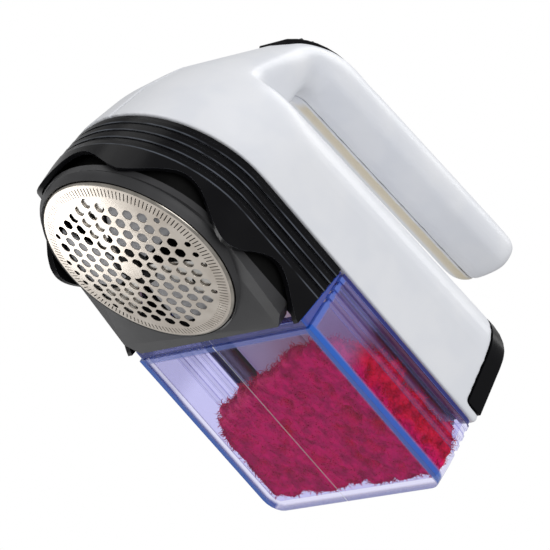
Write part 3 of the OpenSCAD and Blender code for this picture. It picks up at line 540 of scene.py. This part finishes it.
def woollen(name, deep, bright, pale):
    """Wool fluff: crimson with darker hollows, redder and paler towards its front edge."""
    made = new_finish(name)
    tufts = made.grain(3.2, detail=3)
    fibre = made.grain(0.6, detail=4, roughness=0.7)
    x, y, z = made.axes()
    tone = (tufts * 0.65 + fibre * 0.35).ramp(0.34, 0.62)
    red = (z - box_low.z).ramp(3.0, 9.0) * 0.8
    wool = made.blend(tone, deep, bright)
    wool = made.blend(red, wool, made.blend(tone, SHADED_RED, LIT_RED))
    edge = (x + y * HEAP_SLANT - (box_low.x + HEAP_REACH)).ramp(0.0, 8.0) * tufts.ramp(0.35, 0.6)
    surface = made.shader(
        Base_Color=made.blend(edge * 0.75, wool, pale),
        Roughness=0.9,
        Specular_IOR_Level=0.05,
        Emission_Color=wool,
        Emission_Strength=0.1,
        Normal=made.bump(fibre, 0.12, 0.5),
    )
    return made.done(surface)


fluff_wool = woollen("fluff_wool", (0.5, 0.001, 0.085), (0.9, 0.002, 0.15), (0.95, 0.14, 0.22))
cell_wrap = moulded("cell_sleeve", (0.05, 0.052, 0.056), (0.06, 0.062, 0.068), 0.3)
print("finishes:", fluff_wool.name, cell_wrap.name)

# %% [markdown]
# ## Which finish goes where
# Every ready-made part arrives with a plain material that is named after its finish. A table
# gives each of those names one of the materials above, and each part's only material is then
# swapped. Parts that are remade below take their finish from the same table.

# %% Finish by slot
BY_SLOT = {
    "white": white,
    "black": black,
    "black_ribbed": ribbed_black_painted_glints,
    "black_inner": black_inner,
    "dark_gray": charcoal,
    "foil_steel": foil_steel,
    "blade_steel": blade_steel,
    "steel": steel,
    "motor_steel": steel,
    "bronze": bronze,
    "copper": copper,
    "ivory": ivory,
    "cell_wrap": cell_wrap,
    "contact": steel,
    "clear_violet": violet,
    "violet": violet_frame,
    "fluff": fluff_wool,
}
slot_of = {name: obj.data.materials[0].name for name, obj in nodes.items()}
for name, obj in nodes.items():
    obj.data.materials[0] = BY_SLOT[slot_of[name]]
print("slots used:", sorted(set(slot_of.values())))

# %% [markdown]
# ## Putting a piece in the scene
# Each new piece needs the same few things: a finish, a body of the mechanism to ride on, and
# the name of the ready-made part that it stands for, which is then hidden. One helper does all
# of them, so that no piece is left behind when the box slides or the head comes off.

# %% Helper: place a new piece
body_of = {n: body for body, group in frame["record"]["behaviour"]["bodies"].items() for n in group}


def place_piece(piece_name, mesh, part, *stands_for, finish=None):
    """Puts a mesh in the scene on the body of a part, with that part's finish or its own."""
    mesh.materials.clear()
    mesh.materials.append(finish or BY_SLOT[slot_of[part]])
    piece = bpy.data.objects.new(piece_name, mesh)
    bpy.context.scene.collection.objects.link(piece)
    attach(piece, body_of[part])
    if stands_for:
        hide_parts(*stands_for)
    return piece


print("bodies ridden on:", sorted(set(body_of.values())))

# %% [markdown]
# ## Edges that catch the light
# A solid from a drawing has knife-sharp edges, which no moulded part has, and curved walls made
# of narrow flat strips. For the parts that are seen from outside, the mesh is copied, points
# that lie on each other are joined, and flat neighbours are merged. Then a Bevel modifier
# rounds each edge by a few tenths of a millimetre, and every edge that turns less than thirty
# degrees is shaded as smooth. The rounding may have a finish of its own: a paler one on the
# black and charcoal parts, a painted highlight that also stands for handling wear, and a bluer
# one on the clear box, a painted glow of light piped out at its edges. On the clear box the wide
# faces keep their flat shading right up to the rounding.

# %% The outside parts, rounded
FLAT_FACED = ("lint_box", "lint_box_frame")
DOUBLED = 0.002 * MM
FLAT = math.radians(0.6)


def shade(mesh, degrees=30):
    """Smooth shading, broken only at edges that turn more than so many degrees."""
    mesh.shade_smooth()
    mesh.set_sharp_from_angle(angle=math.radians(degrees))


def rounded(piece_name, part, width, edge_finish=None):
    """A copy of a part with its edges rounded; the rounding may have a finish of its own."""
    work = bmesh.new()
    work.from_mesh(nodes[part].data)
    bmesh.ops.remove_doubles(work, verts=work.verts, dist=DOUBLED)
    bmesh.ops.dissolve_limit(work, angle_limit=FLAT, verts=work.verts, edges=work.edges)
    mesh = bpy.data.meshes.new(piece_name)
    work.to_mesh(mesh)
    work.free()
    shade(mesh)
    piece = place_piece(piece_name, mesh, part, part)
    bevel = piece.modifiers.new("round the edges", "BEVEL")
    bevel.width = width * MM
    bevel.segments = 2
    bevel.limit_method = "ANGLE"
    bevel.angle_limit = math.radians(32)
    bevel.miter_outer = "MITER_ARC"
    bevel.use_clamp_overlap = True
    bevel.harden_normals = part in FLAT_FACED
    if edge_finish:
        mesh.materials.append(edge_finish)
        bevel.material = 1
    return piece


for piece_name, part, width, edge_finish in (
    ("ribbed_skirt", "skirt_shell", 0.4, black_sheen_and_wear_edge),
    ("rear_lid", "battery_cap", 0.3, None),
    ("foil_surround", "head_plate", 0.3, charcoal_sheen_and_wear_edge),
    ("switch_seat", "switch_bezel", 0.2, None),
    ("switch_thumb", "switch_slider", 0.15, None),
    ("clear_box", "lint_box", 0.3, violet_edge),
    ("box_mouth", "lint_box_frame", 0.25, violet_edge),
):
    made_piece = rounded(piece_name, part, width, edge_finish)
    print(piece_name, len(made_piece.data.polygons), "faces before rounding")

# %% [markdown]
# ## Meshes as tables of numbers
# The next pieces are shaped point by point. Moving thousands of points in a loop is slow, so
# the points are read into a numpy table with a row each, worked on all at once, and written
# back. The same goes for their normals, which say which way the surface faces.

# %% Helpers: reading, writing and making meshes
def rows_of(mesh, what="co"):
    """The points ("co") or the normals ("normal") of a mesh, one row each."""
    rows = np.empty(len(mesh.vertices) * 3)
    mesh.vertices.foreach_get(what, rows)
    return rows.reshape(-1, 3)


def points_of(mesh):
    return rows_of(mesh) / MM


def set_points(mesh, points):
    mesh.vertices.foreach_set("co", (points * MM).ravel())
    mesh.update()


def settled(name, data, voxel=None):
    """A mesh made from a curve, or from a solid covered by an even mesh of small squares."""
    work = bpy.data.objects.new(name, data)
    bpy.context.scene.collection.objects.link(work)
    if voxel:
        remesh = work.modifiers.new("even", "REMESH")
        remesh.mode = "VOXEL"
        remesh.voxel_size = voxel * MM
    graph = bpy.context.evaluated_depsgraph_get()
    mesh = bpy.data.meshes.new_from_object(work.evaluated_get(graph))
    bpy.data.objects.remove(work)
    return mesh


print("points of the left half:", len(points_of(nodes["housing_left"].data)))

# %% [markdown]
# ## The white shell, as one flowing surface
# The real shell has no hard line where the handle grows out of the nose: the flanks sweep up in
# one hollow curve, and the outer edge rolls over the bend. Modelled solids meet there in creases.
# The shell is therefore covered again with an even mesh of half-millimetre squares, the way a
# sculptor lays clay over an armature, and then relaxed: each point moves towards the middle of
# its neighbours, many times over where the form should flow and only a little elsewhere.

# %% Helpers: relaxing a mesh
def relax(points, mesh, weight, rounds):
    """Moves each point towards the middle of its neighbours, by its own weight, many times."""
    pairs = np.empty(len(mesh.edges) * 2, dtype=np.int64)
    mesh.edges.foreach_get("vertices", pairs)
    first, second = pairs.reshape(-1, 2).T
    count = np.bincount(pairs, minlength=len(points))
    for _ in range(rounds):
        middle = np.empty_like(points)
        for k in range(3):
            total = np.bincount(first, points[second, k], len(points))
            total += np.bincount(second, points[first, k], len(points))
            middle[:, k] = total / count
        points = points + (middle - points) * weight[:, None]
    return points


def rise(value, low, high):
    """0 below low, 1 above high, smooth between."""
    t = np.clip((value - low) / (high - low), 0, 1)
    return t * t * (3 - 2 * t)


print("half way up a rise:", rise(0.5, 0, 1))

# %% [markdown]
# ## The edge that rolls over the bend
# Between nose and grip the shell turns about the same axis as the path of the switch, which is
# read off the joint. Each point is measured from there: how deep it lies under the outer skin
# and how far from the side. A point in the corner of that section is pulled in until the corner
# is a quarter circle.

# %% Helper: roll the outer edge over the bend
BEND_RADIUS = 30.0
LEAN = math.radians(90 - 33.5)
ROLL = 7.6
SKIN = 2.0
LEVELS, HALF_WIDTHS = [53.6, 70.6, 76.4, 90.3], [20, 15.5, 13.2, 11.6]
joints = {j["name"]: j for j in frame["joints"]}
bend = Vector(joints["switch_slide"]["pos_m"]) / MM


def roll_bend(points, normals):
    """Rounds the two outer edges of the bend between nose and grip."""
    x, y, z = points.T
    dx, dz = x - bend.x, z - bend.z
    angle = np.arctan2(dx, dz)
    reach = np.hypot(dx, dz)
    straight = angle > LEAN
    radius = np.where(straight, dx * math.sin(LEAN) + dz * math.cos(LEAN), reach)
    along = np.where(straight, dx * math.cos(LEAN) - dz * math.sin(LEAN), 0)
    inward = ROLL - (BEND_RADIUS - radius)
    side = np.abs(y) - (np.interp(z - lift, LEVELS, HALF_WIDTHS) - ROLL)
    length = np.hypot(side, inward)
    outer_skin = np.sign(y) * normals[:, 1] * side + inward >= 0
    limit = np.where(outer_skin, ROLL, ROLL - SKIN)
    share = rise(np.degrees(angle), -14, -2) * (1 - rise(along, 6, 26))
    corner = (side > 0) & (inward > 0) & (length > limit) & (z > 50 + lift) & (x > 5)
    pull = np.where(corner, share * (1 - limit / np.maximum(length, 1e-6)), 0)
    out_x = np.where(straight, math.sin(LEAN), dx / np.maximum(reach, 1e-6))
    out_z = np.where(straight, math.cos(LEAN), dz / np.maximum(reach, 1e-6))
    return points - np.stack([out_x * inward, np.sign(y) * side, out_z * inward], 1) * pull[:, None]


print("the bend turns about x", round(bend.x, 2), "z", round(bend.z, 2))

# %% [markdown]
# ## The two halves
# The weights of the relaxing are drawn by place. They are high at the root of the handle and on
# the shoulders of the nose, and fade out at the seam, where the two halves have to keep meeting.
# The rear edge, where the black cap closes, is smoothed in a round of its own.

# %% The two halves of the shell
SHELL_VOXEL = 0.5


def flowing_half(piece_name, part):
    """One half of the shell, remeshed, rolled over the bend and relaxed."""
    mesh = settled("armature_copy", nodes[part].data.copy(), SHELL_VOXEL)
    points = roll_bend(points_of(mesh), rows_of(mesh, "normal"))
    x, y, z = points.T
    z = z - lift
    root = rise(x, 12, 24) * rise(z, 46, 56) * (1 - rise(z, 84, 90))
    nose = rise(x, 20, 34) * rise(z, 27, 31)
    seam = rise(np.abs(y), 0.6, 2.5)
    grip = rise(z, 74, 76) * (1 - rise(x, 12, 24)) * 0.25
    rear = 1 - rise(x, box_low.x + 3, box_low.x + 15)
    flow = np.clip(0.9 * root + 0.5 * nose + grip, 0, 0.9) * seam
    for weight, rounds in ((flow, 70), (0.55 * rear, 14), (np.full(len(points), 0.4), 4)):
        points = relax(points, mesh, weight, rounds)
    set_points(mesh, points)
    mesh.shade_smooth()
    return place_piece(piece_name, mesh, part, part)


for side_name in ("left", "right"):
    half = flowing_half(f"shell_half_{side_name}", f"housing_{side_name}")
    print(half.name, len(half.data.vertices), "points")

# %% [markdown]
# ## The bulge of the foil
# The foil is a thin steel sheet that bulges like a watch glass, so that cloth slides over it.
# Such a bulge is part of a sphere. Its height is read off the ready-made part, near the edge,
# and one formula for the sphere then gives the height of the sheet at any distance from the
# axis. The sheet, its rim and the fan behind it all follow that formula.

# %% Helper: the height of the dome
foil_points = points_of(nodes["foil"].data)
foil_reach = np.hypot(foil_points[:, 0] - foil_x, foil_points[:, 1])
edge_reach = foil_radius - 0.5
dome_height = foil_points[np.abs(foil_reach - edge_reach) < 0.1, 2].min()
dome_radius = (edge_reach**2 + dome_height**2) / (2 * dome_height)


def dome(reach):
    """Height of the foil's outer face at a distance from its axis."""
    return np.maximum(dome_radius - 0.04 - np.sqrt(dome_radius**2 - reach**2), 0)


print("the foil bulges by", round(dome_height, 2), "mm, radius", round(dome_radius, 1))

# %% [markdown]
# ## A drawing that becomes a sheet
# The pierced sheet starts as a flat drawing: a filled curve whose first outline is the edge and
# whose other outlines are the holes. Blender gives the drawing a thickness and a small rounding
# at every edge. Its faces are long slivers between the holes, which would bend badly, so the
# mesh is cut by two sets of planes about two millimetres apart, and then lifted to the bulge.

# %% Helpers: outlines of holes and slots
def rounded_polygon(x, y, radius, corners=6, soft=0.32, turn=0.0):
    """The outline of a polygon with rounded corners."""
    outline = []
    for k in range(corners):
        here, before, after = (
            Vector((math.cos(a), math.sin(a))) * radius
            for a in (turn + math.tau * (k + step) / corners for step in (0, -1, 1))
        )
        start, end = here.lerp(before, soft), here.lerp(after, soft)
        for t in (0, 0.25, 0.5, 0.75, 1):
            p = start * (1 - t) ** 2 + here * (2 * t * (1 - t)) + end * t**2
            outline.append((x + p.x, y + p.y))
    return outline


def slot_outline(angle, inner, outer, half_width):
    """A narrow slot with round ends that points at the axis."""
    local = [
        (reach + half_width * math.cos(math.radians(a)), half_width * math.sin(math.radians(a)))
        for reach, first, last in ((outer, -90, 90), (inner, 90, 270))
        for a in range(first, last + 1, 45)
    ]
    c, s = math.cos(angle), math.sin(angle)
    return [(u * c - v * s, u * s + v * c) for u, v in local]


print("points round a hole:", len(rounded_polygon(0, 0, 1)), "and a slot:",
      len(slot_outline(0, 1, 2, 0.1)))


# %% Helper: a sheet from its outlines
CUT_PITCH, CUT_START, CUTS = 2.1, 0.37, 13


def drawn_sheet(name, outlines, thickness, edge):
    """A flat sheet with holes, rounded at every edge, cut into small faces that can bend."""
    curve = bpy.data.curves.new(name, "CURVE")
    curve.dimensions = "2D"
    curve.fill_mode = "BOTH"
    curve.extrude = (thickness / 2 - edge) * MM
    curve.bevel_depth = edge * MM
    curve.bevel_resolution = 1
    for outline in outlines:
        spline = curve.splines.new("POLY")
        spline.points.add(len(outline) - 1)
        spline.points.foreach_set("co", [v for x, y in outline for v in (x * MM, y * MM, 0, 1)])
        spline.use_cyclic_u = True
    mesh = settled(name, curve)
    work = bmesh.new()
    work.from_mesh(mesh)
    bmesh.ops.remove_doubles(work, verts=work.verts, dist=0.0005 * MM)
    for k in range(-CUTS, CUTS + 1):
        for across in ((1, 0, 0), (0, 1, 0)):
            middle = Vector(across) * (k * CUT_PITCH + CUT_START) * MM
            bmesh.ops.bisect_plane(
                work,
                geom=work.verts[:] + work.edges[:] + work.faces[:],
                dist=0.001 * MM,
                plane_co=middle,
                plane_no=across,
            )
    work.to_mesh(mesh)
    work.free()
    return mesh


def lifted(mesh, height):
    """Lifts a flat sheet to the dome, and moves it to the axis of the foil."""
    points = points_of(mesh)
    points[:, 2] += dome(np.hypot(points[:, 0], points[:, 1])) + height
    points[:, 0] += foil_x
    set_points(mesh, points)


print("cuts each way:", 2 * CUTS + 1)

# %% [markdown]
# ## The pierced foil
# Rows of six-sided holes cross the foil, turned by three degrees, with smaller holes where a
# row runs out, and a ring of fine slots lies round them. Holes next to the middle are trimmed,
# so that the middle stays whole. Because the sheet bends a little from face to face, its
# shading is given rather than found: each point of its two broad sides faces as the sphere does.

# %% The outlines of the foil
HOLE_PITCH, ROW_PITCH = 3.7, 3.8
HOLE_WIDTH, SMALL_WIDTH = 2.86, 1.7
WHOLE_MIDDLE = 3.1
SLOTS, SLOT_HALF_WIDTH = 144, 0.13
THREE_DEGREES = math.radians(3)
EDGE = 0.06
full_reach = foil_radius - 5.6
sheet_reach = edge_reach - 0.3


def holes():
    """The outlines of the six-sided holes, row by row."""
    turn_3 = Matrix.Rotation(THREE_DEGREES, 2)
    for row in range(-8, 9):
        for column in range(-14, 15):
            middle = turn_3 @ Vector((HOLE_PITCH * (column + row / 2), ROW_PITCH * row))
            if not 1.0 < middle.length < full_reach + 0.9:
                continue
            width = HOLE_WIDTH if middle.length < full_reach else SMALL_WIDTH
            radius = width / math.sqrt(3) + EDGE
            hole = rounded_polygon(middle.x, middle.y, radius, turn=THREE_DEGREES)
            if middle.length < 4.5:
                out = [max(1, WHOLE_MIDDLE / math.hypot(x, y)) for x, y in hole]
                hole = [(x * by, y * by) for (x, y), by in zip(hole, out)]
            yield hole


around = np.linspace(0, math.tau, 360, endpoint=False)
outlines = [[(sheet_reach * math.cos(a), sheet_reach * math.sin(a)) for a in around]]
outlines += holes()
slot_ends = foil_radius - 3.75, foil_radius - 1.55
for k in range(SLOTS):
    outlines.append(slot_outline(math.tau * k / SLOTS, *slot_ends, SLOT_HALF_WIDTH + EDGE))
print("openings:", len(outlines) - 1)

# %% The pierced sheet
sheet_mesh = drawn_sheet("foil_sheet", outlines, thickness=0.26, edge=EDGE)
flat_points = points_of(sheet_mesh)
lifted(sheet_mesh, height=0.14)
sheet_mesh.shade_smooth()
facing = np.ones((len(flat_points), 3))
facing[:, :2] = -flat_points[:, :2] / dome_radius
given = np.zeros((len(sheet_mesh.loops), 3))
for face in sheet_mesh.polygons:
    if abs(face.normal.z) > 0.93:
        for loop in face.loop_indices:
            corner = sheet_mesh.loops[loop].vertex_index
            given[loop] = facing[corner] * math.copysign(1, face.normal.z)
sheet_mesh.normals_split_custom_set(given.tolist())
place_piece("foil_sheet", sheet_mesh, "foil", "foil")
print("foil sheet:", len(sheet_mesh.polygons), "faces")

# %% [markdown]
# ## The rolled rim
# A strip of shinier steel is rolled round the edge of the sheet and holds it in the head. Its
# colour is painted darker than the sheet, as painted shade on the roll.
# Its section is a short list of points, and a lathe turns the section round the axis of the
# foil. That is quicker to check than bending a tube, and it leaves no seam.

# %% A lathe, and the rim turned on it
RIM_ROLL = 0.8


def turned(name, profile, steps=288):
    """A ring turned on a lathe round the axis of the foil, from points (reach, height)."""
    work = bmesh.new()
    rings = []
    for reach, height in profile:
        rings.append([
            work.verts.new(at(foil_x + reach * math.cos(a), reach * math.sin(a), height))
            for a in np.linspace(0, math.tau, steps, endpoint=False)
        ])
    for low_ring, high_ring in zip(rings, rings[1:] + rings[:1]):
        for k in range(steps):
            n = (k + 1) % steps
            work.faces.new((low_ring[k], low_ring[n], high_ring[n], high_ring[k]))
    bmesh.ops.recalc_face_normals(work, faces=work.faces)
    mesh = bpy.data.meshes.new(name)
    work.to_mesh(mesh)
    work.free()
    shade(mesh, 40)
    return mesh


rim_start = edge_reach - 0.34
rim_low = float(dome(rim_start)) + 0.03
rim_top = foil_high.z - 0.3
rim_wall = foil_radius - 0.25
section = [(rim_start, rim_low)]
for degrees in range(10, 91, 10):
    a = math.radians(degrees)
    section.append((
        foil_radius - RIM_ROLL + RIM_ROLL * math.sin(a),
        rim_low + 0.02 + RIM_ROLL - RIM_ROLL * math.cos(a),
    ))
section += [(foil_radius, rim_top), (rim_wall, rim_top), (rim_wall, rim_low + 1.0)]
section += [(rim_start, rim_low + 0.22)]
place_piece("foil_rim", turned("foil_rim", section), "foil", finish=rim_steel_painted_dark)
print("rim from z", round(rim_low, 2), "to", round(rim_top, 2))

# %% [markdown]
# ## The pale fan above the blades
# Through the holes of the foil, something pale shows beside the dark of the chamber: the disc
# that carries the blades. It is taken here to be a fan of three light grey sectors, cut from a
# drawn sheet like the foil and lifted to the same bulge, a little above the blades. It rides on
# the cutter, so it turns with it.

# %% The pale fan
SECTOR_MIDDLE, SECTOR_HALF = 28, 43
FAN_INNER, FAN_OUTER = 5.5, 22.2


def sector(middle):
    """The outline of one sector of the fan, out along its rim and back along its root."""
    start, end = math.radians(middle - SECTOR_HALF), math.radians(middle + SECTOR_HALF)
    far = [(FAN_OUTER * math.cos(a), FAN_OUTER * math.sin(a)) for a in np.linspace(start, end, 40)]
    near = [(FAN_INNER * math.cos(a), FAN_INNER * math.sin(a)) for a in np.linspace(end, start, 12)]
    return far + near


sectors = [sector(SECTOR_MIDDLE + 120 * k) for k in range(3)]
fan_mesh = drawn_sheet("pale_fan", sectors, thickness=0.9, edge=0.1)
lifted(fan_mesh, height=1.95)
shade(fan_mesh)
place_piece("pale_fan", fan_mesh, "cutter_hub", finish=pale_grey)
print("fan:", len(fan_mesh.polygons), "faces")

# %% [markdown]
# ## The heap of fluff
# Fluff is a heap of soft lumps with loose fibres on top. The heap is made of fifteen hundred
# overlapping balls inside the box, taller at the back than at the front, which are joined into
# one lumpy surface by a voxel remesh. Every ball is clipped to the inside of the box first, so
# the heap lies flat against the clear walls. The random numbers start from a fixed seed, so the
# heap is the same every time.

# %% Helpers: where the fluff lies
random.seed(11)
rng = np.random.default_rng(11)
fluff_floor = box_low.z + 2.1
side_limit = box_high.y - 2.2
back_limit = box_low.x + 2.3
FRONT_AT = [-31, -25, -19, -5, 8, 20, 31]
FRONT_IS = [-36, -28, -25, -21.5, -16, -13, -13.5]
BOX_BACK_THERE = -63  # where the back of the box lies in the numbers of FRONT_IS


def front_of(y):
    """How far forward the heap reaches at a distance y from the middle."""
    return np.interp(y, FRONT_AT, FRONT_IS) + box_low.x - BOX_BACK_THERE


def top_of(x, y):
    """How high the heap is above the floor of the box."""
    back = np.clip((front_of(y) - x) / 16, 0, 1)
    return 2.0 + 11.5 * np.sin(back * math.pi / 2) ** 1.2


def kept_inside(points, ceiling, spare=(0, 0, 0)):
    """Clips points to the inside of the box, or to a little more than it."""
    low = [back_limit - spare[0], -side_limit - spare[1], fluff_floor - spare[2]]
    return np.clip(points, low, [99, side_limit + spare[1], ceiling])


print("the heap reaches x", round(float(front_of(0)), 1), "in the middle")

# %% The heap
BALLS = 1500
HEAP_VOXEL = 0.6
work = bmesh.new()
bmesh.ops.create_icosphere(work, subdivisions=2, radius=1.0)
ball = np.array([v.co[:] for v in work.verts])
ball_faces = np.array([[v.index for v in f.verts] for f in work.faces])
work.free()
all_points, all_faces = [], []
for k in range(BALLS):
    y = random.uniform(-side_limit + 0.8, side_limit - 0.8)
    x = random.uniform(back_limit + 0.8, front_of(y) - 1.0)
    z = fluff_floor + random.uniform(0, 1) * top_of(x, y)
    radius = random.uniform(1.5, 2.9)
    shape = np.array([random.uniform(0.8, 1.3) for _ in range(3)]) * radius
    points = ball * shape + np.array([x, y, z])
    all_points.append(kept_inside(points, ceiling=box_high.z - 3.5))
    all_faces.append(ball_faces + len(ball) * k)
lumps = bpy.data.meshes.new("lumps")
lump_points = np.concatenate(all_points) * MM
lumps.from_pydata(lump_points.tolist(), [], np.concatenate(all_faces).tolist())
heap_mesh = settled("lumps", lumps, HEAP_VOXEL)
points = points_of(heap_mesh)
set_points(heap_mesh, relax(points, heap_mesh, np.full(len(points), 0.5), 3))
heap_mesh.shade_smooth()
place_piece("fluff_heap", heap_mesh, "lint_fluff", "lint_fluff")
print("heap:", len(heap_mesh.vertices), "points")

# %% [markdown]
# ## Loose fibres
# A nap of short curled fibres turns the smooth heap into wool. Each fibre starts at a point of
# the heap, mostly along the surface, and turns a little at every knot. It is a tube of three
# sides, thick in the middle and fine at its tip. Real curves would look as good, but one mesh
# of small tubes is quick to make from tables of numbers, and it exports as it is.

# %% The paths of the fibres
FIBRES, KNOTS, SIDES = 22000, 6, 3


def unit(rows):
    """Rows scaled to length 1."""
    return rows / np.linalg.norm(rows, axis=1)[:, None]


starts = points_of(heap_mesh)
outward = rows_of(heap_mesh, "normal")
chosen = rng.choice(len(starts), FIBRES)
starts, outward = starts[chosen], outward[chosen]
heading = rng.normal(size=(FIBRES, 3))
heading -= outward * (heading * outward).sum(1)[:, None] * 0.8
heading = unit(heading + outward * 0.25)
curl = unit(rng.normal(size=(FIBRES, 3)))
length = rng.uniform(1.2, 3.4, FIBRES)
bend_by = rng.uniform(0.4, 0.9, FIBRES)
path = np.empty((FIBRES, KNOTS, 3))
path[:, 0] = starts - outward * 0.15
for k in range(1, KNOTS):
    path[:, k] = path[:, k - 1] + heading * (length / (KNOTS - 1))[:, None]
    heading = unit(heading + np.cross(curl, heading) * bend_by[:, None])
print("mean length in mm:", round(float(length.mean()), 2))

# %% The tubes round the paths
TAPER = np.array([0.5, 1, 1, 0.9, 0.6, 0.1])
width = rng.uniform(0.06, 0.15, FIBRES)[:, None] * TAPER
side_a = unit(np.cross(curl, heading))
side_b = np.cross(side_a, curl)
tube = np.stack([
    path + width[:, :, None] * (side_a[:, None] * math.cos(a) + side_b[:, None] * math.sin(a))
    for a in (math.tau * k / SIDES for k in range(SIDES))
], 2)
tube = kept_inside(tube, ceiling=box_high.z - 2.5, spare=(0.3, 0.3, 0.2))
quads = []
for k in range(KNOTS - 1):
    for a in range(SIDES):
        b = (a + 1) % SIDES
        here, there = SIDES * k, SIDES * (k + 1)
        quads.append([here + a, here + b, there + b, there + a])
first_points = np.arange(FIBRES) * KNOTS * SIDES
quads = (np.array(quads)[None] + first_points[:, None, None]).reshape(-1, 4)
fibre_mesh = bpy.data.meshes.new("loose_fibres")
fibre_mesh.from_pydata((tube.reshape(-1, 3) * MM).tolist(), [], quads.tolist())
fibre_mesh.shade_smooth()
place_piece("loose_fibres", fibre_mesh, "lint_fluff")
print("fibres:", FIBRES)

# %% [markdown]
# ## Studio light
# A white studio surrounds the shaver. The camera sees it as plain white, also through the clear
# plastic. Shiny surfaces mirror it at little more than half that strength, so that black stays
# black, and what lights the part is dimmer still, so that the white shell keeps its shape. The
# Light Path node tells these kinds of rays apart, and the largest answer wins.

# %% World
MIRRORED = 0.25
DIM, FULL = 0.42, 1.0
bpy.context.scene.world = bpy.data.worlds.new("studio")
studio = Finish(bpy.context.scene.world, "ShaderNodeOutputWorld")
from_camera, from_mirror, from_clear = (
    studio.add("ShaderNodeLightPath", out=f"Is {kind} Ray")
    for kind in ("Camera", "Glossy", "Transmission")
)
seen = from_camera.most(from_mirror * MIRRORED).most(from_clear)
level = studio.add("ShaderNodeMapRange", {}, {"Value": seen, "To Min": DIM, "To Max": FULL})
backdrop = {"Color": (1.0, 1.0, 1.0), "Strength": level}
studio.done(studio.add("ShaderNodeBackground", {}, backdrop))
print("world:", bpy.context.scene.world.name)

# %% [markdown]
# ## Lamps
# A large soft lamp stands in front of the nose and gives the bright upper edge, and another near
# the camera fills the side and the underside. One above lights the handle, and one below, on
# the far side, is there for the foil, whose steel would otherwise have only a dim room to
# mirror. All of them point at the middle of the shaver.

# %% Lamps
MIDDLE = at(0, 0, 45)


def lamp(name, place, size, power):
    """A square soft lamp that points at the middle of the shaver."""
    light = bpy.data.lights.new(name, "AREA")
    light.shape = "SQUARE"
    light.size = size * MM
    light.energy = power
    obj = bpy.data.objects.new(name, light)
    bpy.context.scene.collection.objects.link(obj)
    obj.location = at(*place)
    obj.rotation_mode = "QUATERNION"
    obj.rotation_quaternion = (obj.location - MIDDLE).to_track_quat("Z", "Y")


for name, place, size, power in (
    ("nose_lamp", (700, -150, 420), 500, 1.3),
    ("fill_lamp", (350, 950, -120), 700, 5.0),
    ("top_lamp", (-100, 100, 900), 600, 3),
    ("foil_lamp", (-60, -800, -440), 450, 2.5),
):
    lamp(name, place, size, power)

# %% [markdown]
# ## The floor
# The shaver stands on a plain pale floor. The portrait looks up from below it, so the floor is
# made one-sided: seen from above it is there, with the shadow on it, and seen from below it is
# clear. Rays that carry light also pass it, so the underside is lit as a product in a light
# tent is.

# %% Floor
FLOOR_HALF = 3.0
FLOOR_GAP = 0.2
pale_floor = new_finish("pale_floor")
from_behind = pale_floor.add("ShaderNodeNewGeometry", out="Backfacing")
shown = pale_floor.add("ShaderNodeLightPath", out="Is Camera Ray") * (1 - from_behind)
pale = pale_floor.shader(Base_Color=(0.86, 0.86, 0.86), Roughness=0.9)
clear = pale_floor.add("ShaderNodeBsdfTransparent")
work = bmesh.new()
bmesh.ops.create_grid(work, x_segments=1, y_segments=1, size=FLOOR_HALF)
floor_mesh = bpy.data.meshes.new("floor")
work.to_mesh(floor_mesh)
work.free()
floor_mesh.materials.append(pale_floor.done(pale_floor.mix(shown, clear, pale)))
floor = bpy.data.objects.new("floor", floor_mesh)
floor.location.z = -FLOOR_GAP * MM
bpy.context.scene.collection.objects.link(floor)
print("floor at z", round(floor.location.z, 6))

# %% [markdown]
# ## Last settings
# The view transform is the plain one, so a colour comes out as it was chosen.

# %% Settings and the end
bpy.context.scene.view_settings.view_transform = "Standard"
